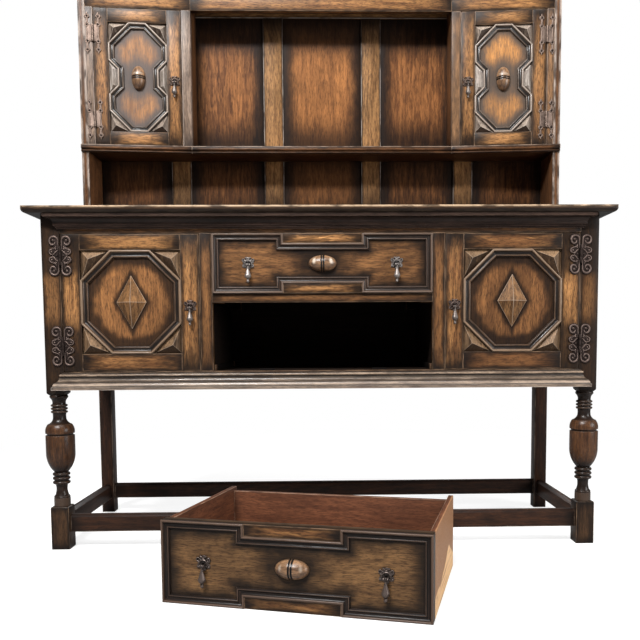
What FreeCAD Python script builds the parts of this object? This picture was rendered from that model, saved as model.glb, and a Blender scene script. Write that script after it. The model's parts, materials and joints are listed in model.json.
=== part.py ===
import FreeCAD, Part
import math
import os

# An oak kitchen dresser: a cupboard base on turned front legs, with a plate rack on its worktop.
# Millimetres. X runs to the viewer's right, Y to the back, Z up. While the pieces are made, the
# front faces of the corner posts lie in Y = 0, and the whole is moved to its own base centre at the end.

V = FreeCAD.Vector
UP = V(0, 0, 1)
RIGHT = V(1, 0, 0)
FRONT = V(0, -1, 0)

# Worktop and case
WORKTOP_WIDTH = 1524.0
WORKTOP_HEIGHT = 897.0
WORKTOP_THICKNESS = 18.0
WORKTOP_EDGE_RADIUS = 10.0
WORKTOP_SIDE_OVERHANG = 34.0
WORKTOP_FRONT_OVERHANG = 40.0
CASE_DEPTH = 483.0
UNDERSIDE_SHARE = 0.476
POST_SIZE = 48.0
REAR_LEG_SIZE = 40.0
FRAME_THICKNESS = 22.0
PANEL_THICKNESS = 8.0
SIDE_RAIL_INSET = 5.0
BACK_INSET = 9.0
BOARD_THICKNESS = 16.0
CASE_BOTTOM_THICKNESS = 12.0

# Front of the case
TOP_RAIL_HEIGHT = 47.0
BOTTOM_RAIL_HEIGHT = 47.0
DRAWER_RAIL_HEIGHT = 23.0
CENTRE_STILE_WIDTH = 32.0
DRAWER_BAY_SHARE = 0.397
UPPER_DRAWER_BAY_SHARE = 0.436
CUPBOARD_SHELF_SETBACK = 60.0
CUPBOARD_SHELF_SHARE = 0.46
RUNNER_WIDTH = 32.0
GUIDE_HEIGHT = 15.0
STOP_BLOCK = (40.0, 12.0, 5.0)
STOP_BLOCK_SHARE = 0.26

# Mouldings under the worktop and round the bottom of the case
CROWN_HEIGHT = 36.0
CROWN_PROJECTION = 32.0
BASE_MOULDING_HEIGHT = 44.0
BASE_MOULDING_PROJECTION = 26.0

# Turned front legs, from the square block under the case down to the square foot. The heights of
# the turned parts are shares of the length between block and foot.
LEG_BLOCK_DROP = 15.0
FOOT_HEIGHT = 115.0
BLOCK_CHAMFER = 6.0
FOOT_CHAMFER = 2.5
TOP_RING_SHARE = 0.027
TOP_RING_RADIUS = 23.5
TOP_RING_ROUND = 2.0
UPPER_NECK_RADIUS = 17.0
UPPER_COVE_SHARE = 0.05
COVE_HOLLOW = 0.8
COVE_HOLLOW_RISE = 0.6
UPPER_BEAD_SHARE = 0.029
UPPER_BEAD_RADIUS = 21.5
UPPER_NECK_SHARE = 0.047
BULB_RADIUS = 37.0
BULB_COVER_SHARE = 0.131
COVER_ROUND = (0.97, 0.36)
COVER_TURN = (0.83, 0.62)
COVER_HOLLOW = 3.6
COVER_HOLLOW_RISE = 0.8
CUP_FOOT_RADIUS = 17.5
CUP_ROUND = (0.87, 0.24)
CUP_FULL_RISE = 0.52
BULB_GROOVE_SHARE = 0.017
BULB_GROOVE_DEPTH = 4.0
LOWER_BEAD_SHARE = 0.038
LOWER_BEAD_RADIUS = 22.5
LOWER_NECK_RADIUS = 15.5
LOWER_NECK_HOLLOW = 1.2
LOWER_NECK_SHARE = 0.1
DRUM_SHARE = 0.075
DRUM_RADIUS = 21.0
SHOULDER_SHARE = 0.02
SHOULDER_RADIUS = 18.5
SHOULDER_BULGE = 0.72
BEAD_COUNT = 3

# Stretchers between the feet
STRETCHER_HEIGHT = 47.0
STRETCHER_THICKNESS = 24.0
STRETCHER_UNDERSIDE = 45.0
STRETCHER_CHAMFER = 7.0

# Doors
DOOR_GAP = 1.5
DOOR_STOP_GAP = 0.4
DOOR_STOP_LAP = 8.0
DOOR_STOP_DEPTH = 12.0
PANEL_RECESS = 9.0
LOWER_DOOR_STILE = 48.0
LOWER_DOOR_TOP_RAIL = 41.0
LOWER_DOOR_BOTTOM_RAIL = 45.0
LOWER_RING_WIDTH = 20.0
LOWER_RING_HEIGHT = 12.0
LOWER_CORNER_SHARE = 0.3
UPPER_DOOR_STILE = 42.0
UPPER_DOOR_RAIL = 40.0
UPPER_RING_WIDTH = 18.0
UPPER_RING_HEIGHT = 11.0
UPPER_CORNER_SHARE = 0.352
WAIST_DEPTH_SHARE = 0.15
WAIST_FLAT_SHARE = 0.147
HIP_RIDGE_SHARE = 0.45
UPPER_EGG_SHARE = 0.243
PYRAMID_RISE = 13.0
DIAMOND_WIDTH_SHARE = 0.296
DIAMOND_HEIGHT_SHARE = 0.513
DIAMOND_PLINTH = 4.0
DIAMOND_RISE = 17.0
EGG_SLENDERNESS = 1.72
EGG_GROOVE = 1.8
EGG_GROOVE_SPREAD = 3.2

# Drawers
DRAWER_GAP = 1.5
DRAWER_RUN_GAP = 0.3
DRAWER_BACK_CLEARANCE = 65.0
DRAWER_WALL = 12.0
DRAWER_SIDE_DROP = 3.0
DRAWER_BACK_DROP = 9.0
DRAWER_BACK_INSET = 6.0
DRAWER_BOTTOM_THICKNESS = 6.0
DRAWER_BOTTOM_RISE = 10.0
DRAWER_RING_WIDTH = 18.0
DRAWER_RING_HEIGHT = 9.0
STEP_BLOCK_SHARE = 0.358
STEP_BLOCK_HEIGHT = 25.0
STEP_BLOCK_PROUD = 6.0
DRAWER_HANDLE_SHARE = 0.3375
DRAWER_EGG_SHARE = 0.272
FLOOR_DRAWER_TURN = 15.0
FLOOR_DRAWER_STANDOFF = 34.0
FLOOR_DRAWER_OFFSET = -63.0

# Hinges and drop handles
HINGE_STANDOFF = 4.0
HINGE_LEAF_THICKNESS = 2.2
HINGE_LEAF_NEAR = 1.0
HINGE_BARREL_RADIUS = 3.5
HINGE_BARREL_LENGTH = 48.0
HINGE_PIN_RADIUS = 1.5
RUNNING_CLEARANCE = 0.05
METAL_GAP = 0.4
LOWER_HINGE_HEIGHT = 106.0
LOWER_HINGE_REACH = 30.0
CURL_OVERLAP_SHARE = 0.7
CURL_EYE_SHARE = 0.36
CURL_MOUTH_NEAR_SHARE = 0.2
CURL_MOUTH_FAR_SHARE = 1.1
CURL_MOUTH_SHARE = 0.3
CURL_TIP_REACH_SHARE = 0.66
CURL_TIP_RISE_SHARE = 0.1
CURL_TIP_SHARE = 0.33
CURL_LOBE_SHARE = 0.6
CURL_LOBE_LEVEL_SHARE = 0.72
LOWER_HINGE_INSET = 4.0
LOWER_HINGE_RISE = 14.0
UPPER_HINGE_HEIGHT = 121.0
UPPER_HINGE_REACH = 23.0
SPEAR_LOBE_SHARE = 0.3
SPEAR_BAR_SHARE = 0.45
SPEAR_POINT_SHARE = 1.3
SPEAR_POINT_HALF_SHARE = 0.6
SPEAR_INNER_SHARE = 0.4
SPEAR_OUTER_SHARE = 1.75
UPPER_HINGE_INSET = 16.0
HANDLE_PLATE_RADIUS = 9.5
HANDLE_LOBE_RADIUS = 6.0
HANDLE_LOBE_COUNT = 6
HANDLE_PLATE_THICKNESS = 2.5
HANDLE_DOME_RADIUS = 6.0
PIVOT_STANDOFF = 11.0
PIVOT_DROP = 4.0
LUG_RADIUS = 3.4
LUG_THICKNESS = 2.0
PENDANT_EYE_RADIUS = 4.2
PENDANT_EYE_HALF = 2.6
PENDANT_LENGTH = 46.0
PENDANT_RADIUS = 7.8
PENDANT_NECK_RADIUS = 2.4
PENDANT_TIP_RADIUS = 3.6
PENDANT_NECK_SHARE = 0.22
PENDANT_BELLY_SHARE = 0.6
PENDANT_SLOPE_SHARE = 0.72
PENDANT_TURN_SHARE = 0.68
PENDANT_ROOT_SHARE = 0.8
PENDANT_WAIST_SHARE = 0.6
LOWER_DOOR_HANDLE_SHARE = 0.472
UPPER_DOOR_HANDLE_SHARE = 0.476

# Plate rack: side boards, shelf, canted cupboards at the ends and a moulded cornice
RACK_SIDE_SETBACK = 37.0
RACK_DEPTH = 143.0
RACK_RECESS = 28.0
RACK_SIDE_THICKNESS = 20.0
RACK_SHELF_RISE = 249.0
RACK_SHELF_THICKNESS = 21.0
RACK_MIDDLE_SHARE = 0.5476
RACK_OUTER_STILE = 22.0
RACK_INNER_STILE = 27.0
RACK_STILE_THICKNESS = 20.0
RACK_PARTITION_THICKNESS = 18.0
RACK_DOOR_BAY_HEIGHT = 403.0
NOSING_PROJECTION = 10.0
FRIEZE_HEIGHT = 70.0
RACK_TOP_THICKNESS = 14.0
CORNICE_HEIGHT = 48.0
CORNICE_PROJECTION = 30.0
RACK_BACK_THICKNESS = 18.0
RACK_BACK_RAIL = 50.0
MUNTIN_WIDTH = 62.0
INNER_MUNTIN_SHARE = 0.171
OUTER_MUNTIN_SHARE = 0.578

# Places worked out from the sizes above
CASE_TOP = WORKTOP_HEIGHT - WORKTOP_THICKNESS
CASE_HALF = WORKTOP_WIDTH / 2 - WORKTOP_SIDE_OVERHANG
CASE_UNDERSIDE = WORKTOP_HEIGHT * UNDERSIDE_SHARE
POST_INNER = CASE_HALF - POST_SIZE
REAR_INNER = CASE_HALF - REAR_LEG_SIZE
BAY_BOTTOM = CASE_UNDERSIDE + BOTTOM_RAIL_HEIGHT
BAY_TOP = CASE_TOP - TOP_RAIL_HEIGHT
BAY_HALF = CASE_HALF * DRAWER_BAY_SHARE
STILE_OUTER = BAY_HALF + CENTRE_STILE_WIDTH
PARTITION_INNER = BAY_HALF + (CENTRE_STILE_WIDTH - BOARD_THICKNESS) / 2
PARTITION_OUTER = PARTITION_INNER + BOARD_THICKNESS
UPPER_DRAWER_BAY_HEIGHT = (BAY_TOP - BAY_BOTTOM) * UPPER_DRAWER_BAY_SHARE
UPPER_DRAWER_FLOOR = BAY_TOP - UPPER_DRAWER_BAY_HEIGHT
DRAWER_RAIL_UNDERSIDE = UPPER_DRAWER_FLOOR - DRAWER_RAIL_HEIGHT
SIDE_RAIL_OUTER = CASE_HALF - SIDE_RAIL_INSET
SIDE_RAIL_INNER = SIDE_RAIL_OUTER - FRAME_THICKNESS
SIDE_PANEL_INNER = SIDE_RAIL_INNER + (FRAME_THICKNESS - PANEL_THICKNESS) / 2
BACK_OUTER = CASE_DEPTH - BACK_INSET
BACK_INNER = BACK_OUTER - FRAME_THICKNESS
REAR_LEG_FRONT = CASE_DEPTH - REAR_LEG_SIZE
DRAWER_HALF = BAY_HALF - DRAWER_GAP
DRAWER_DEPTH = BACK_INNER - DRAWER_BACK_CLEARANCE
DOOR_THICKNESS = FRAME_THICKNESS - DOOR_STOP_GAP
RACK_HALF = WORKTOP_WIDTH / 2 - RACK_SIDE_SETBACK
RACK_FRONT = CASE_DEPTH - RACK_DEPTH
RACK_MIDDLE_FRONT = RACK_FRONT + RACK_RECESS
RACK_MIDDLE_HALF = RACK_HALF * RACK_MIDDLE_SHARE
RACK_INNER_HALF = RACK_HALF - RACK_SIDE_THICKNESS
RACK_BACK_FACE = CASE_DEPTH - RACK_BACK_THICKNESS
RACK_SHELF_TOP = WORKTOP_HEIGHT + RACK_SHELF_RISE
RACK_BAY_TOP = RACK_SHELF_TOP + RACK_DOOR_BAY_HEIGHT
RACK_TOP_UNDERSIDE = RACK_BAY_TOP + FRIEZE_HEIGHT
RACK_TOP = RACK_TOP_UNDERSIDE + RACK_TOP_THICKNESS
CANT = math.atan2(RACK_RECESS, RACK_HALF - RACK_MIDDLE_HALF)
RACK_DOOR_THICKNESS = RACK_STILE_THICKNESS - DOOR_STOP_GAP


def box(x, y, z):
    """Rectangular block between two limits on each axis."""
    return Part.makeBox(x[1] - x[0], y[1] - y[0], z[1] - z[0], V(x[0], y[0], z[0]))


def extruded(points, along):
    """Flat outline of corner points, carried along a vector."""
    return Part.Face(Part.makePolygon(points + [points[0]])).extrude(along)


def plan_block(points, low, high):
    """Block whose outline is drawn on plan, between two heights."""
    return extruded([V(x, y, low) for x, y in points], V(0, 0, high - low))


def mirrored(shape):
    """The same piece for the other side of the dresser."""
    return shape.mirror(V(0, 0, 0), RIGHT)


def both_sides(shapes):
    """Left-hand pieces with their right-hand partners."""
    return shapes + [mirrored(shape) for shape in shapes]


def moved(shapes, turn, to):
    """Pieces turned about Z by an angle in degrees, then moved."""
    result = []
    for shape in shapes:
        copy = shape.copy()
        copy.rotate(V(0, 0, 0), UP, turn)
        copy.translate(to)
        result.append(copy)
    return result


def outline_face(outline, place):
    """Face inside a closed outline. An entry is a corner, or an arc as (point passed, end point)."""
    edges = []
    here = outline[0]
    for entry in outline[1:] + outline[:1]:
        if isinstance(entry[0], tuple):
            passed, there = entry
            edges.append(Part.Arc(place(*here), place(*passed), place(*there)).toShape())
        else:
            there = entry
            edges.append(Part.LineSegment(place(*here), place(*there)).toShape())
        here = there
    return Part.Face(Part.Wire(edges))


def outline_points(outline):
    """All the points that an outline names."""
    points = []
    for entry in outline:
        points.extend(entry if isinstance(entry[0], tuple) else [entry])
    return points


def mitred_strips(path, normal, section, closed):
    """Strips of one section along a flat path, meeting on mitres.

    The section's first size runs to the left of the path, seen from the tip of the normal, and its
    second along the normal.
    """
    count = len(path)
    runs = count if closed else count - 1
    along = []
    for i in range(runs):
        step = path[(i + 1) % count] - path[i]
        along.append(step * (1 / step.Length))
    left = [normal.cross(d) for d in along]

    def mitre(i):
        before = left[(i - 1) % runs] if closed or i > 0 else left[i]
        after = left[i % runs] if closed or i < runs else left[i - 1]
        return (before + after) * (1 / (1 + before.dot(after)))

    points = outline_points(section)
    widths = [p[0] for p in points]
    heights = [p[1] for p in points]
    spare = max(widths) - min(widths)
    near, far = min(widths) - spare, max(widths) + spare
    strips = []
    for i in range(runs):
        start, end = path[i], path[(i + 1) % count]
        base = start - along[i] * (2 * spare)

        def place(w, h, base=base, side=left[i]):
            return base + side * w + normal * h

        bar = outline_face(section, place).extrude(end - start + along[i] * (4 * spare))
        low = normal * (min(heights) - spare)
        here, there = mitre(i), mitre(i + 1)
        ends = [start + here * near, end + there * near, end + there * far, start + here * far]
        trim = extruded([p + low for p in ends], normal * (max(heights) - min(heights) + 2 * spare))
        strips.append(bar.common(trim).Solids[0])
    return strips


def peaked(corners, crest, plinth=0.0):
    """Faceted block: each base corner runs up a plinth and then to its point of the crest."""
    top = [c + FRONT * plinth for c in corners]
    faces = [list(reversed(corners))]
    count = len(corners)
    for i in range(count):
        j = (i + 1) % count
        if plinth:
            faces.append([corners[i], corners[j], top[j], top[i]])
        facet = [top[i], top[j], crest[j]]
        if not crest[i].isEqual(crest[j], 1e-6):
            facet.append(crest[i])
        faces.append(facet)
    solid = Part.makeSolid(Part.makeShell([Part.Face(Part.makePolygon(f + f[:1])) for f in faces]))
    if solid.Volume < 0:
        solid.reverse()
    return solid


def bead_moulding(width, height):
    """Section of the applied moulding: an outer bead, a hollow and a lower inner bead."""
    outer, hollow, inner = 0.28 * width, 0.72 * width, 0.94 * width
    shoulder, floor, lip = 0.78 * height, 0.36 * height, 0.42 * height
    return [
        (0, 0),
        (width, 0),
        (width, 0.25 * height),
        (inner, lip),
        (((inner + hollow) / 2, 0.62 * height), (hollow, lip)),
        (((outer + hollow) / 2, floor), (outer, shoulder)),
        ((outer / 2, height), (0, shoulder)),
    ]


def crown_section():
    """Section under the worktop, as (projection, height): stepped fillets, a cove and a top fillet."""
    step = CROWN_PROJECTION / 8
    rise = CROWN_HEIGHT / 9
    return [
        (0, 0),
        (1.5 * step, 0),
        (1.5 * step, rise),
        (2.3 * step, rise),
        (2.3 * step, 2 * rise),
        (3 * step, 2 * rise),
        (3 * step, 3 * rise),
        ((4 * step, 5.8 * rise), (6.8 * step, 7 * rise)),
        (8 * step, 7 * rise),
        (8 * step, 9 * rise),
        (0, 9 * rise),
    ]


def base_section():
    """Section round the bottom of the case: a foot fillet, an ogee, a step and a top bead."""
    step = BASE_MOULDING_PROJECTION / 13
    rise = BASE_MOULDING_HEIGHT / 11
    return [
        (0, 0),
        (13 * step, 0),
        (13 * step, 2 * rise),
        (11.5 * step, 2 * rise),
        ((10.4 * step, 4.2 * rise), (8 * step, 5.2 * rise)),
        ((5.8 * step, 6.1 * rise), (5 * step, 8 * rise)),
        (3.6 * step, 8 * rise),
        (3.6 * step, 8.6 * rise),
        ((4.6 * step, 9.6 * rise), (2.6 * step, 10.4 * rise)),
        (2 * step, 10.4 * rise),
        (2 * step, 11 * rise),
        (0, 11 * rise),
    ]


def returned_moulding(section, half_length, z):
    """Front moulding that turns back on itself at both ends, on mitres, to die on the corner posts."""
    reach = max(p[0] for p in outline_points(section))
    long = half_length + reach

    def from_side(p, h):
        return V(-long, -p, z + h)

    bar = outline_face(section, from_side).extrude(V(2 * long, 0, 0))
    ends = []
    for side in (-1, 1):

        def from_front(p, h, side=side):
            return V(side * (half_length + p), -reach, z + h)

        ends.append(outline_face(section, from_front).extrude(V(0, reach, 0)))
    height = max(p[1] for p in outline_points(section))
    middle = box((-half_length, half_length), (-reach, 0), (z, z + height))
    return bar.common(middle.fuse(ends).removeSplitter()).removeSplitter().Solids[0]


def turned_outline(top, bottom):
    """Half outline of the turned part of a leg, as (radius, height) from the foot to the block."""
    length = top - bottom
    bead = UPPER_BEAD_SHARE * length
    lower_bead = LOWER_BEAD_SHARE * length
    cover = BULB_COVER_SHARE * length
    cove = UPPER_COVE_SHARE * length
    shoulder = SHOULDER_SHARE * length
    cove_top = top - TOP_RING_SHARE * length
    upper_beads_top = cove_top - cove
    upper_neck_top = upper_beads_top - BEAD_COUNT * bead
    cover_top = upper_neck_top - UPPER_NECK_SHARE * length
    groove_top = cover_top - cover
    cup_top = groove_top - BULB_GROOVE_SHARE * length
    drum_top = bottom + DRUM_SHARE * length
    shoulder_top = drum_top + shoulder
    lower_beads_bottom = shoulder_top + LOWER_NECK_SHARE * length
    cup_bottom = lower_beads_bottom + BEAD_COUNT * lower_bead
    cup = cup_top - cup_bottom
    groove_radius = BULB_RADIUS - BULB_GROOVE_DEPTH
    shoulder_bulge = SHOULDER_RADIUS + SHOULDER_BULGE * (DRUM_RADIUS - SHOULDER_RADIUS)
    neck_hollow = (LOWER_NECK_RADIUS - LOWER_NECK_HOLLOW, (shoulder_top + lower_beads_bottom) / 2)
    cup_round = (CUP_ROUND[0] * BULB_RADIUS, cup_bottom + CUP_ROUND[1] * cup)
    cover_round = (COVER_ROUND[0] * BULB_RADIUS, groove_top + COVER_ROUND[1] * cover)
    cover_turn = (COVER_TURN[0] * BULB_RADIUS, groove_top + COVER_TURN[1] * cover)
    cover_hollow = (UPPER_NECK_RADIUS + COVER_HOLLOW, groove_top + COVER_HOLLOW_RISE * cover)
    outline = [
        (0, bottom),
        (DRUM_RADIUS, bottom),
        (DRUM_RADIUS, drum_top),
        ((shoulder_bulge, drum_top + SHOULDER_BULGE * shoulder), (SHOULDER_RADIUS, shoulder_top)),
        (neck_hollow, (LOWER_NECK_RADIUS, lower_beads_bottom)),
    ]
    for i in range(BEAD_COUNT):
        low = lower_beads_bottom + i * lower_bead
        outline.append(((LOWER_BEAD_RADIUS, low + lower_bead / 2), (LOWER_NECK_RADIUS, low + lower_bead)))
    outline += [
        (CUP_FOOT_RADIUS, cup_bottom),
        (cup_round, (BULB_RADIUS, cup_bottom + CUP_FULL_RISE * cup)),
        (BULB_RADIUS, cup_top),
        (groove_radius, cup_top),
        (groove_radius, groove_top),
        (BULB_RADIUS, groove_top),
        (cover_round, cover_turn),
        (cover_hollow, (UPPER_NECK_RADIUS, cover_top)),
        (UPPER_NECK_RADIUS, upper_neck_top),
    ]
    for i in range(BEAD_COUNT):
        low = upper_neck_top + i * bead
        outline.append(((UPPER_BEAD_RADIUS, low + bead / 2), (UPPER_NECK_RADIUS, low + bead)))
    ring_root = TOP_RING_RADIUS - TOP_RING_ROUND
    cove_hollow = (UPPER_NECK_RADIUS + COVE_HOLLOW, upper_beads_top + COVE_HOLLOW_RISE * cove)
    outline += [
        (cove_hollow, (ring_root, cove_top)),
        ((TOP_RING_RADIUS, (cove_top + top) / 2), (ring_root, top)),
        (0, top),
    ]
    return outline


def front_leg():
    """Left corner post, turned leg and square foot, in one piece."""
    centre = V(-CASE_HALF + POST_SIZE / 2, POST_SIZE / 2, 0)
    block_bottom = CASE_UNDERSIDE - LEG_BLOCK_DROP
    x = (-CASE_HALF, -POST_INNER)
    y = (0, POST_SIZE)
    post = box(x, y, (block_bottom, CASE_TOP))
    under = [e for e in post.Edges if e.CenterOfMass.z < block_bottom + 0.1]
    post = post.makeChamfer(BLOCK_CHAMFER, under)
    foot = box(x, y, (0, FOOT_HEIGHT))
    over = [e for e in foot.Edges if e.CenterOfMass.z > FOOT_HEIGHT - 0.1]
    foot = foot.makeChamfer(FOOT_CHAMFER, over)

    def place(r, z):
        return centre + V(r, 0, z)

    turned = outline_face(turned_outline(block_bottom, FOOT_HEIGHT), place).revolve(centre, UP, 360)
    return post.fuse([turned, foot]).Solids[0]


def stretchers():
    """Front, back and two side stretchers, with their upper edges eased."""
    z = (STRETCHER_UNDERSIDE, STRETCHER_UNDERSIDE + STRETCHER_HEIGHT)
    half = STRETCHER_THICKNESS / 2
    front_y = POST_SIZE / 2
    rear_y = CASE_DEPTH - REAR_LEG_SIZE / 2
    side_x = CASE_HALF - REAR_LEG_SIZE / 2
    bars = [
        box((-POST_INNER, POST_INNER), (front_y - half, front_y + half), z),
        box((-REAR_INNER, REAR_INNER), (rear_y - half, rear_y + half), z),
        box((-side_x - half, -side_x + half), (POST_SIZE, REAR_LEG_FRONT), z),
        box((side_x - half, side_x + half), (POST_SIZE, REAR_LEG_FRONT), z),
    ]
    eased = []
    for bar in bars:
        size = bar.BoundBox
        run = V(1, 0, 0) if size.XLength > size.YLength else V(0, 1, 0)
        long_top = []
        for edge in bar.Edges:
            direction = edge.tangentAt(edge.FirstParameter)
            if edge.CenterOfMass.z > z[1] - 0.1 and abs(direction.dot(run)) > 0.9:
                long_top.append(edge)
        eased.append(bar.makeChamfer(STRETCHER_CHAMFER, long_top))
    return eased


def face_frame():
    """Rails and stiles that show on the front of the case."""
    y = (0, FRAME_THICKNESS)
    stile = box((-STILE_OUTER, -BAY_HALF), y, (BAY_BOTTOM, BAY_TOP))
    return [
        box((-POST_INNER, POST_INNER), y, (BAY_TOP, CASE_TOP)),
        box((-POST_INNER, POST_INNER), y, (CASE_UNDERSIDE, BAY_BOTTOM)),
        box((-BAY_HALF, BAY_HALF), y, (DRAWER_RAIL_UNDERSIDE, UPPER_DRAWER_FLOOR)),
    ] + both_sides([stile])


def case_sides():
    """Top and bottom rails of the two ends, and the panels between them."""
    x = (-SIDE_RAIL_OUTER, -SIDE_RAIL_INNER)
    y = (POST_SIZE, REAR_LEG_FRONT)
    rails = [box(x, y, (BAY_TOP, CASE_TOP)), box(x, y, (CASE_UNDERSIDE, BAY_BOTTOM))]
    panel = box((-SIDE_PANEL_INNER - PANEL_THICKNESS, -SIDE_PANEL_INNER), y, (BAY_BOTTOM, BAY_TOP))
    return both_sides(rails), both_sides([panel])


def case_bottom():
    """Bottom board, notched round the posts and the rear legs."""
    z = (BAY_BOTTOM - CASE_BOTTOM_THICKNESS, BAY_BOTTOM)
    board = box((-SIDE_RAIL_INNER, SIDE_RAIL_INNER), (FRAME_THICKNESS, BACK_INNER), z)
    post = box((-CASE_HALF, -POST_INNER), (0, POST_SIZE), z)
    rear = box((-CASE_HALF, -REAR_INNER), (REAR_LEG_FRONT, CASE_DEPTH), z)
    return [board.cut(both_sides([post, rear])).Solids[0]]


def case_back():
    """Two rails and a thin panel between the rear legs."""
    x = (-REAR_INNER, REAR_INNER)
    y = (BACK_INNER, BACK_OUTER)
    panel_front = BACK_INNER + (FRAME_THICKNESS - PANEL_THICKNESS) / 2
    return [
        box(x, y, (BAY_TOP, CASE_TOP)),
        box(x, y, (CASE_UNDERSIDE, BAY_BOTTOM)),
        box(x, (panel_front, panel_front + PANEL_THICKNESS), (BAY_BOTTOM, BAY_TOP)),
    ]


def case_inside():
    """Partitions beside the drawers, a shelf in each cupboard, and the runners, guides and stops."""
    y = (FRAME_THICKNESS, BACK_INNER)
    partition = box((-PARTITION_OUTER, -PARTITION_INNER), y, (BAY_BOTTOM, CASE_TOP))
    shelf_z = BAY_BOTTOM + (BAY_TOP - BAY_BOTTOM) * CUPBOARD_SHELF_SHARE
    shelf = box(
        (-SIDE_PANEL_INNER, -PARTITION_OUTER),
        (CUPBOARD_SHELF_SETBACK, REAR_LEG_FRONT),
        (shelf_z, shelf_z + BOARD_THICKNESS),
    )
    runner_inner = PARTITION_INNER - RUNNER_WIDTH
    runner = box((-PARTITION_INNER, -runner_inner), y, (DRAWER_RAIL_UNDERSIDE, UPPER_DRAWER_FLOOR))
    guides = []
    for floor in (BAY_BOTTOM, UPPER_DRAWER_FLOOR):
        guides.append(box((-PARTITION_INNER, -BAY_HALF), y, (floor, floor + GUIDE_HEIGHT)))
    wide, deep, tall = STOP_BLOCK
    stop_front = FRAME_THICKNESS + DRAWER_RUN_GAP
    stop_middle = -2 * BAY_HALF * STOP_BLOCK_SHARE
    stop_x = (stop_middle - wide / 2, stop_middle + wide / 2)
    stop = box(stop_x, (stop_front, stop_front + deep), (BAY_BOTTOM, BAY_BOTTOM + tall))
    return both_sides([partition]), both_sides([shelf]), both_sides([runner] + guides + [stop])


def worktop():
    """Worktop with a thin upper edge over an ovolo along the front and the ends."""
    half = WORKTOP_WIDTH / 2
    low = CASE_TOP
    front = -WORKTOP_FRONT_OVERHANG
    board = box((-half, half), (front, CASE_DEPTH), (low, WORKTOP_HEIGHT))
    edges = []
    for edge in board.Edges:
        middle = edge.CenterOfMass
        if middle.z < low + 0.1 and middle.y < CASE_DEPTH - 0.1:
            edges.append(edge)
    return board.makeFillet(WORKTOP_EDGE_RADIUS, edges)


def corner_pyramids(width, height, cut, place):
    """Three-sided pyramids that fill the corners left by an eight-sided ring."""
    inner = cut * (1 - math.sqrt(0.5))
    blocks = []
    for x, sx in ((0, 1), (width, -1)):
        for z, sz in ((0, 1), (height, -1)):
            corners = [place(x, z, 0), place(x + sx * cut, z, 0), place(x, z + sz * cut, 0)]
            peak = place(x + sx * inner, z + sz * inner, PYRAMID_RISE)
            blocks.append(peaked(corners, [peak] * 3))
    return blocks


def half_egg(width, upright):
    """Split-turned egg with two grooves round its middle, flat side in Y = 0."""
    a, b = width * EGG_SLENDERNESS / 2, width / 2
    half = Part.Ellipse(V(a, 0, 0), V(0, 0, b), V(0, 0, 0))
    curve = Part.ArcOfEllipse(half, 0, math.pi).toShape()
    chord = Part.LineSegment(V(-a, 0, 0), V(a, 0, 0)).toShape()
    egg = Part.Face(Part.Wire([curve, chord])).revolve(V(0, 0, 0), RIGHT, 180)
    for middle in (-EGG_GROOVE_SPREAD, EGG_GROOVE_SPREAD):
        corners = [
            V(middle - EGG_GROOVE / 2, 0, b - EGG_GROOVE),
            V(middle + EGG_GROOVE / 2, 0, b - EGG_GROOVE),
            V(middle + EGG_GROOVE / 2, 0, b + EGG_GROOVE),
            V(middle - EGG_GROOVE / 2, 0, b + EGG_GROOVE),
        ]
        groove = Part.Face(Part.makePolygon(corners + corners[:1])).revolve(V(0, 0, 0), RIGHT, 180)
        egg = egg.cut(groove)
    if upright:
        egg.rotate(V(0, 0, 0), FRONT, 90)
    return egg.Solids[0]


def door_frame(width, height, stile, top_rail, bottom_rail, thickness):
    """Two stiles, two rails and the panel of a door, with its hinge edge at X = 0."""
    y = (0, thickness)
    frame = [
        box((0, stile), y, (0, height)),
        box((width - stile, width), y, (0, height)),
        box((stile, width - stile), y, (0, bottom_rail)),
        box((stile, width - stile), y, (height - top_rail, height)),
    ]
    panel = box(
        (stile, width - stile),
        (PANEL_RECESS, PANEL_RECESS + PANEL_THICKNESS),
        (bottom_rail, height - top_rail),
    )
    return frame, panel


def lower_door_mouldings(width, height, origin):
    """Eight-sided ring, corner pyramids and a diamond boss on the panel of a lower door."""

    def place(x, z, h):
        return origin + V(x, 0, z) + FRONT * h

    cut = min(width, height) * LOWER_CORNER_SHARE
    left_side = [(cut, 0), (0, cut), (0, height - cut), (cut, height)]
    right_side = [(width - x, z) for x, z in reversed(left_side)]
    ring = [place(x, z, 0) for x, z in left_side + right_side]
    strips = mitred_strips(ring[::-1], FRONT, bead_moulding(LOWER_RING_WIDTH, LOWER_RING_HEIGHT), True)
    x, z = width / 2, height / 2
    dx, dz = width * DIAMOND_WIDTH_SHARE / 2, height * DIAMOND_HEIGHT_SHARE / 2
    corners = [place(x - dx, z, 0), place(x, z - dz, 0), place(x + dx, z, 0), place(x, z + dz, 0)]
    diamond = peaked(corners, [place(x, z, DIAMOND_PLINTH + DIAMOND_RISE)] * 4, DIAMOND_PLINTH)
    return strips + corner_pyramids(width, height, cut, place) + [diamond]


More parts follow.
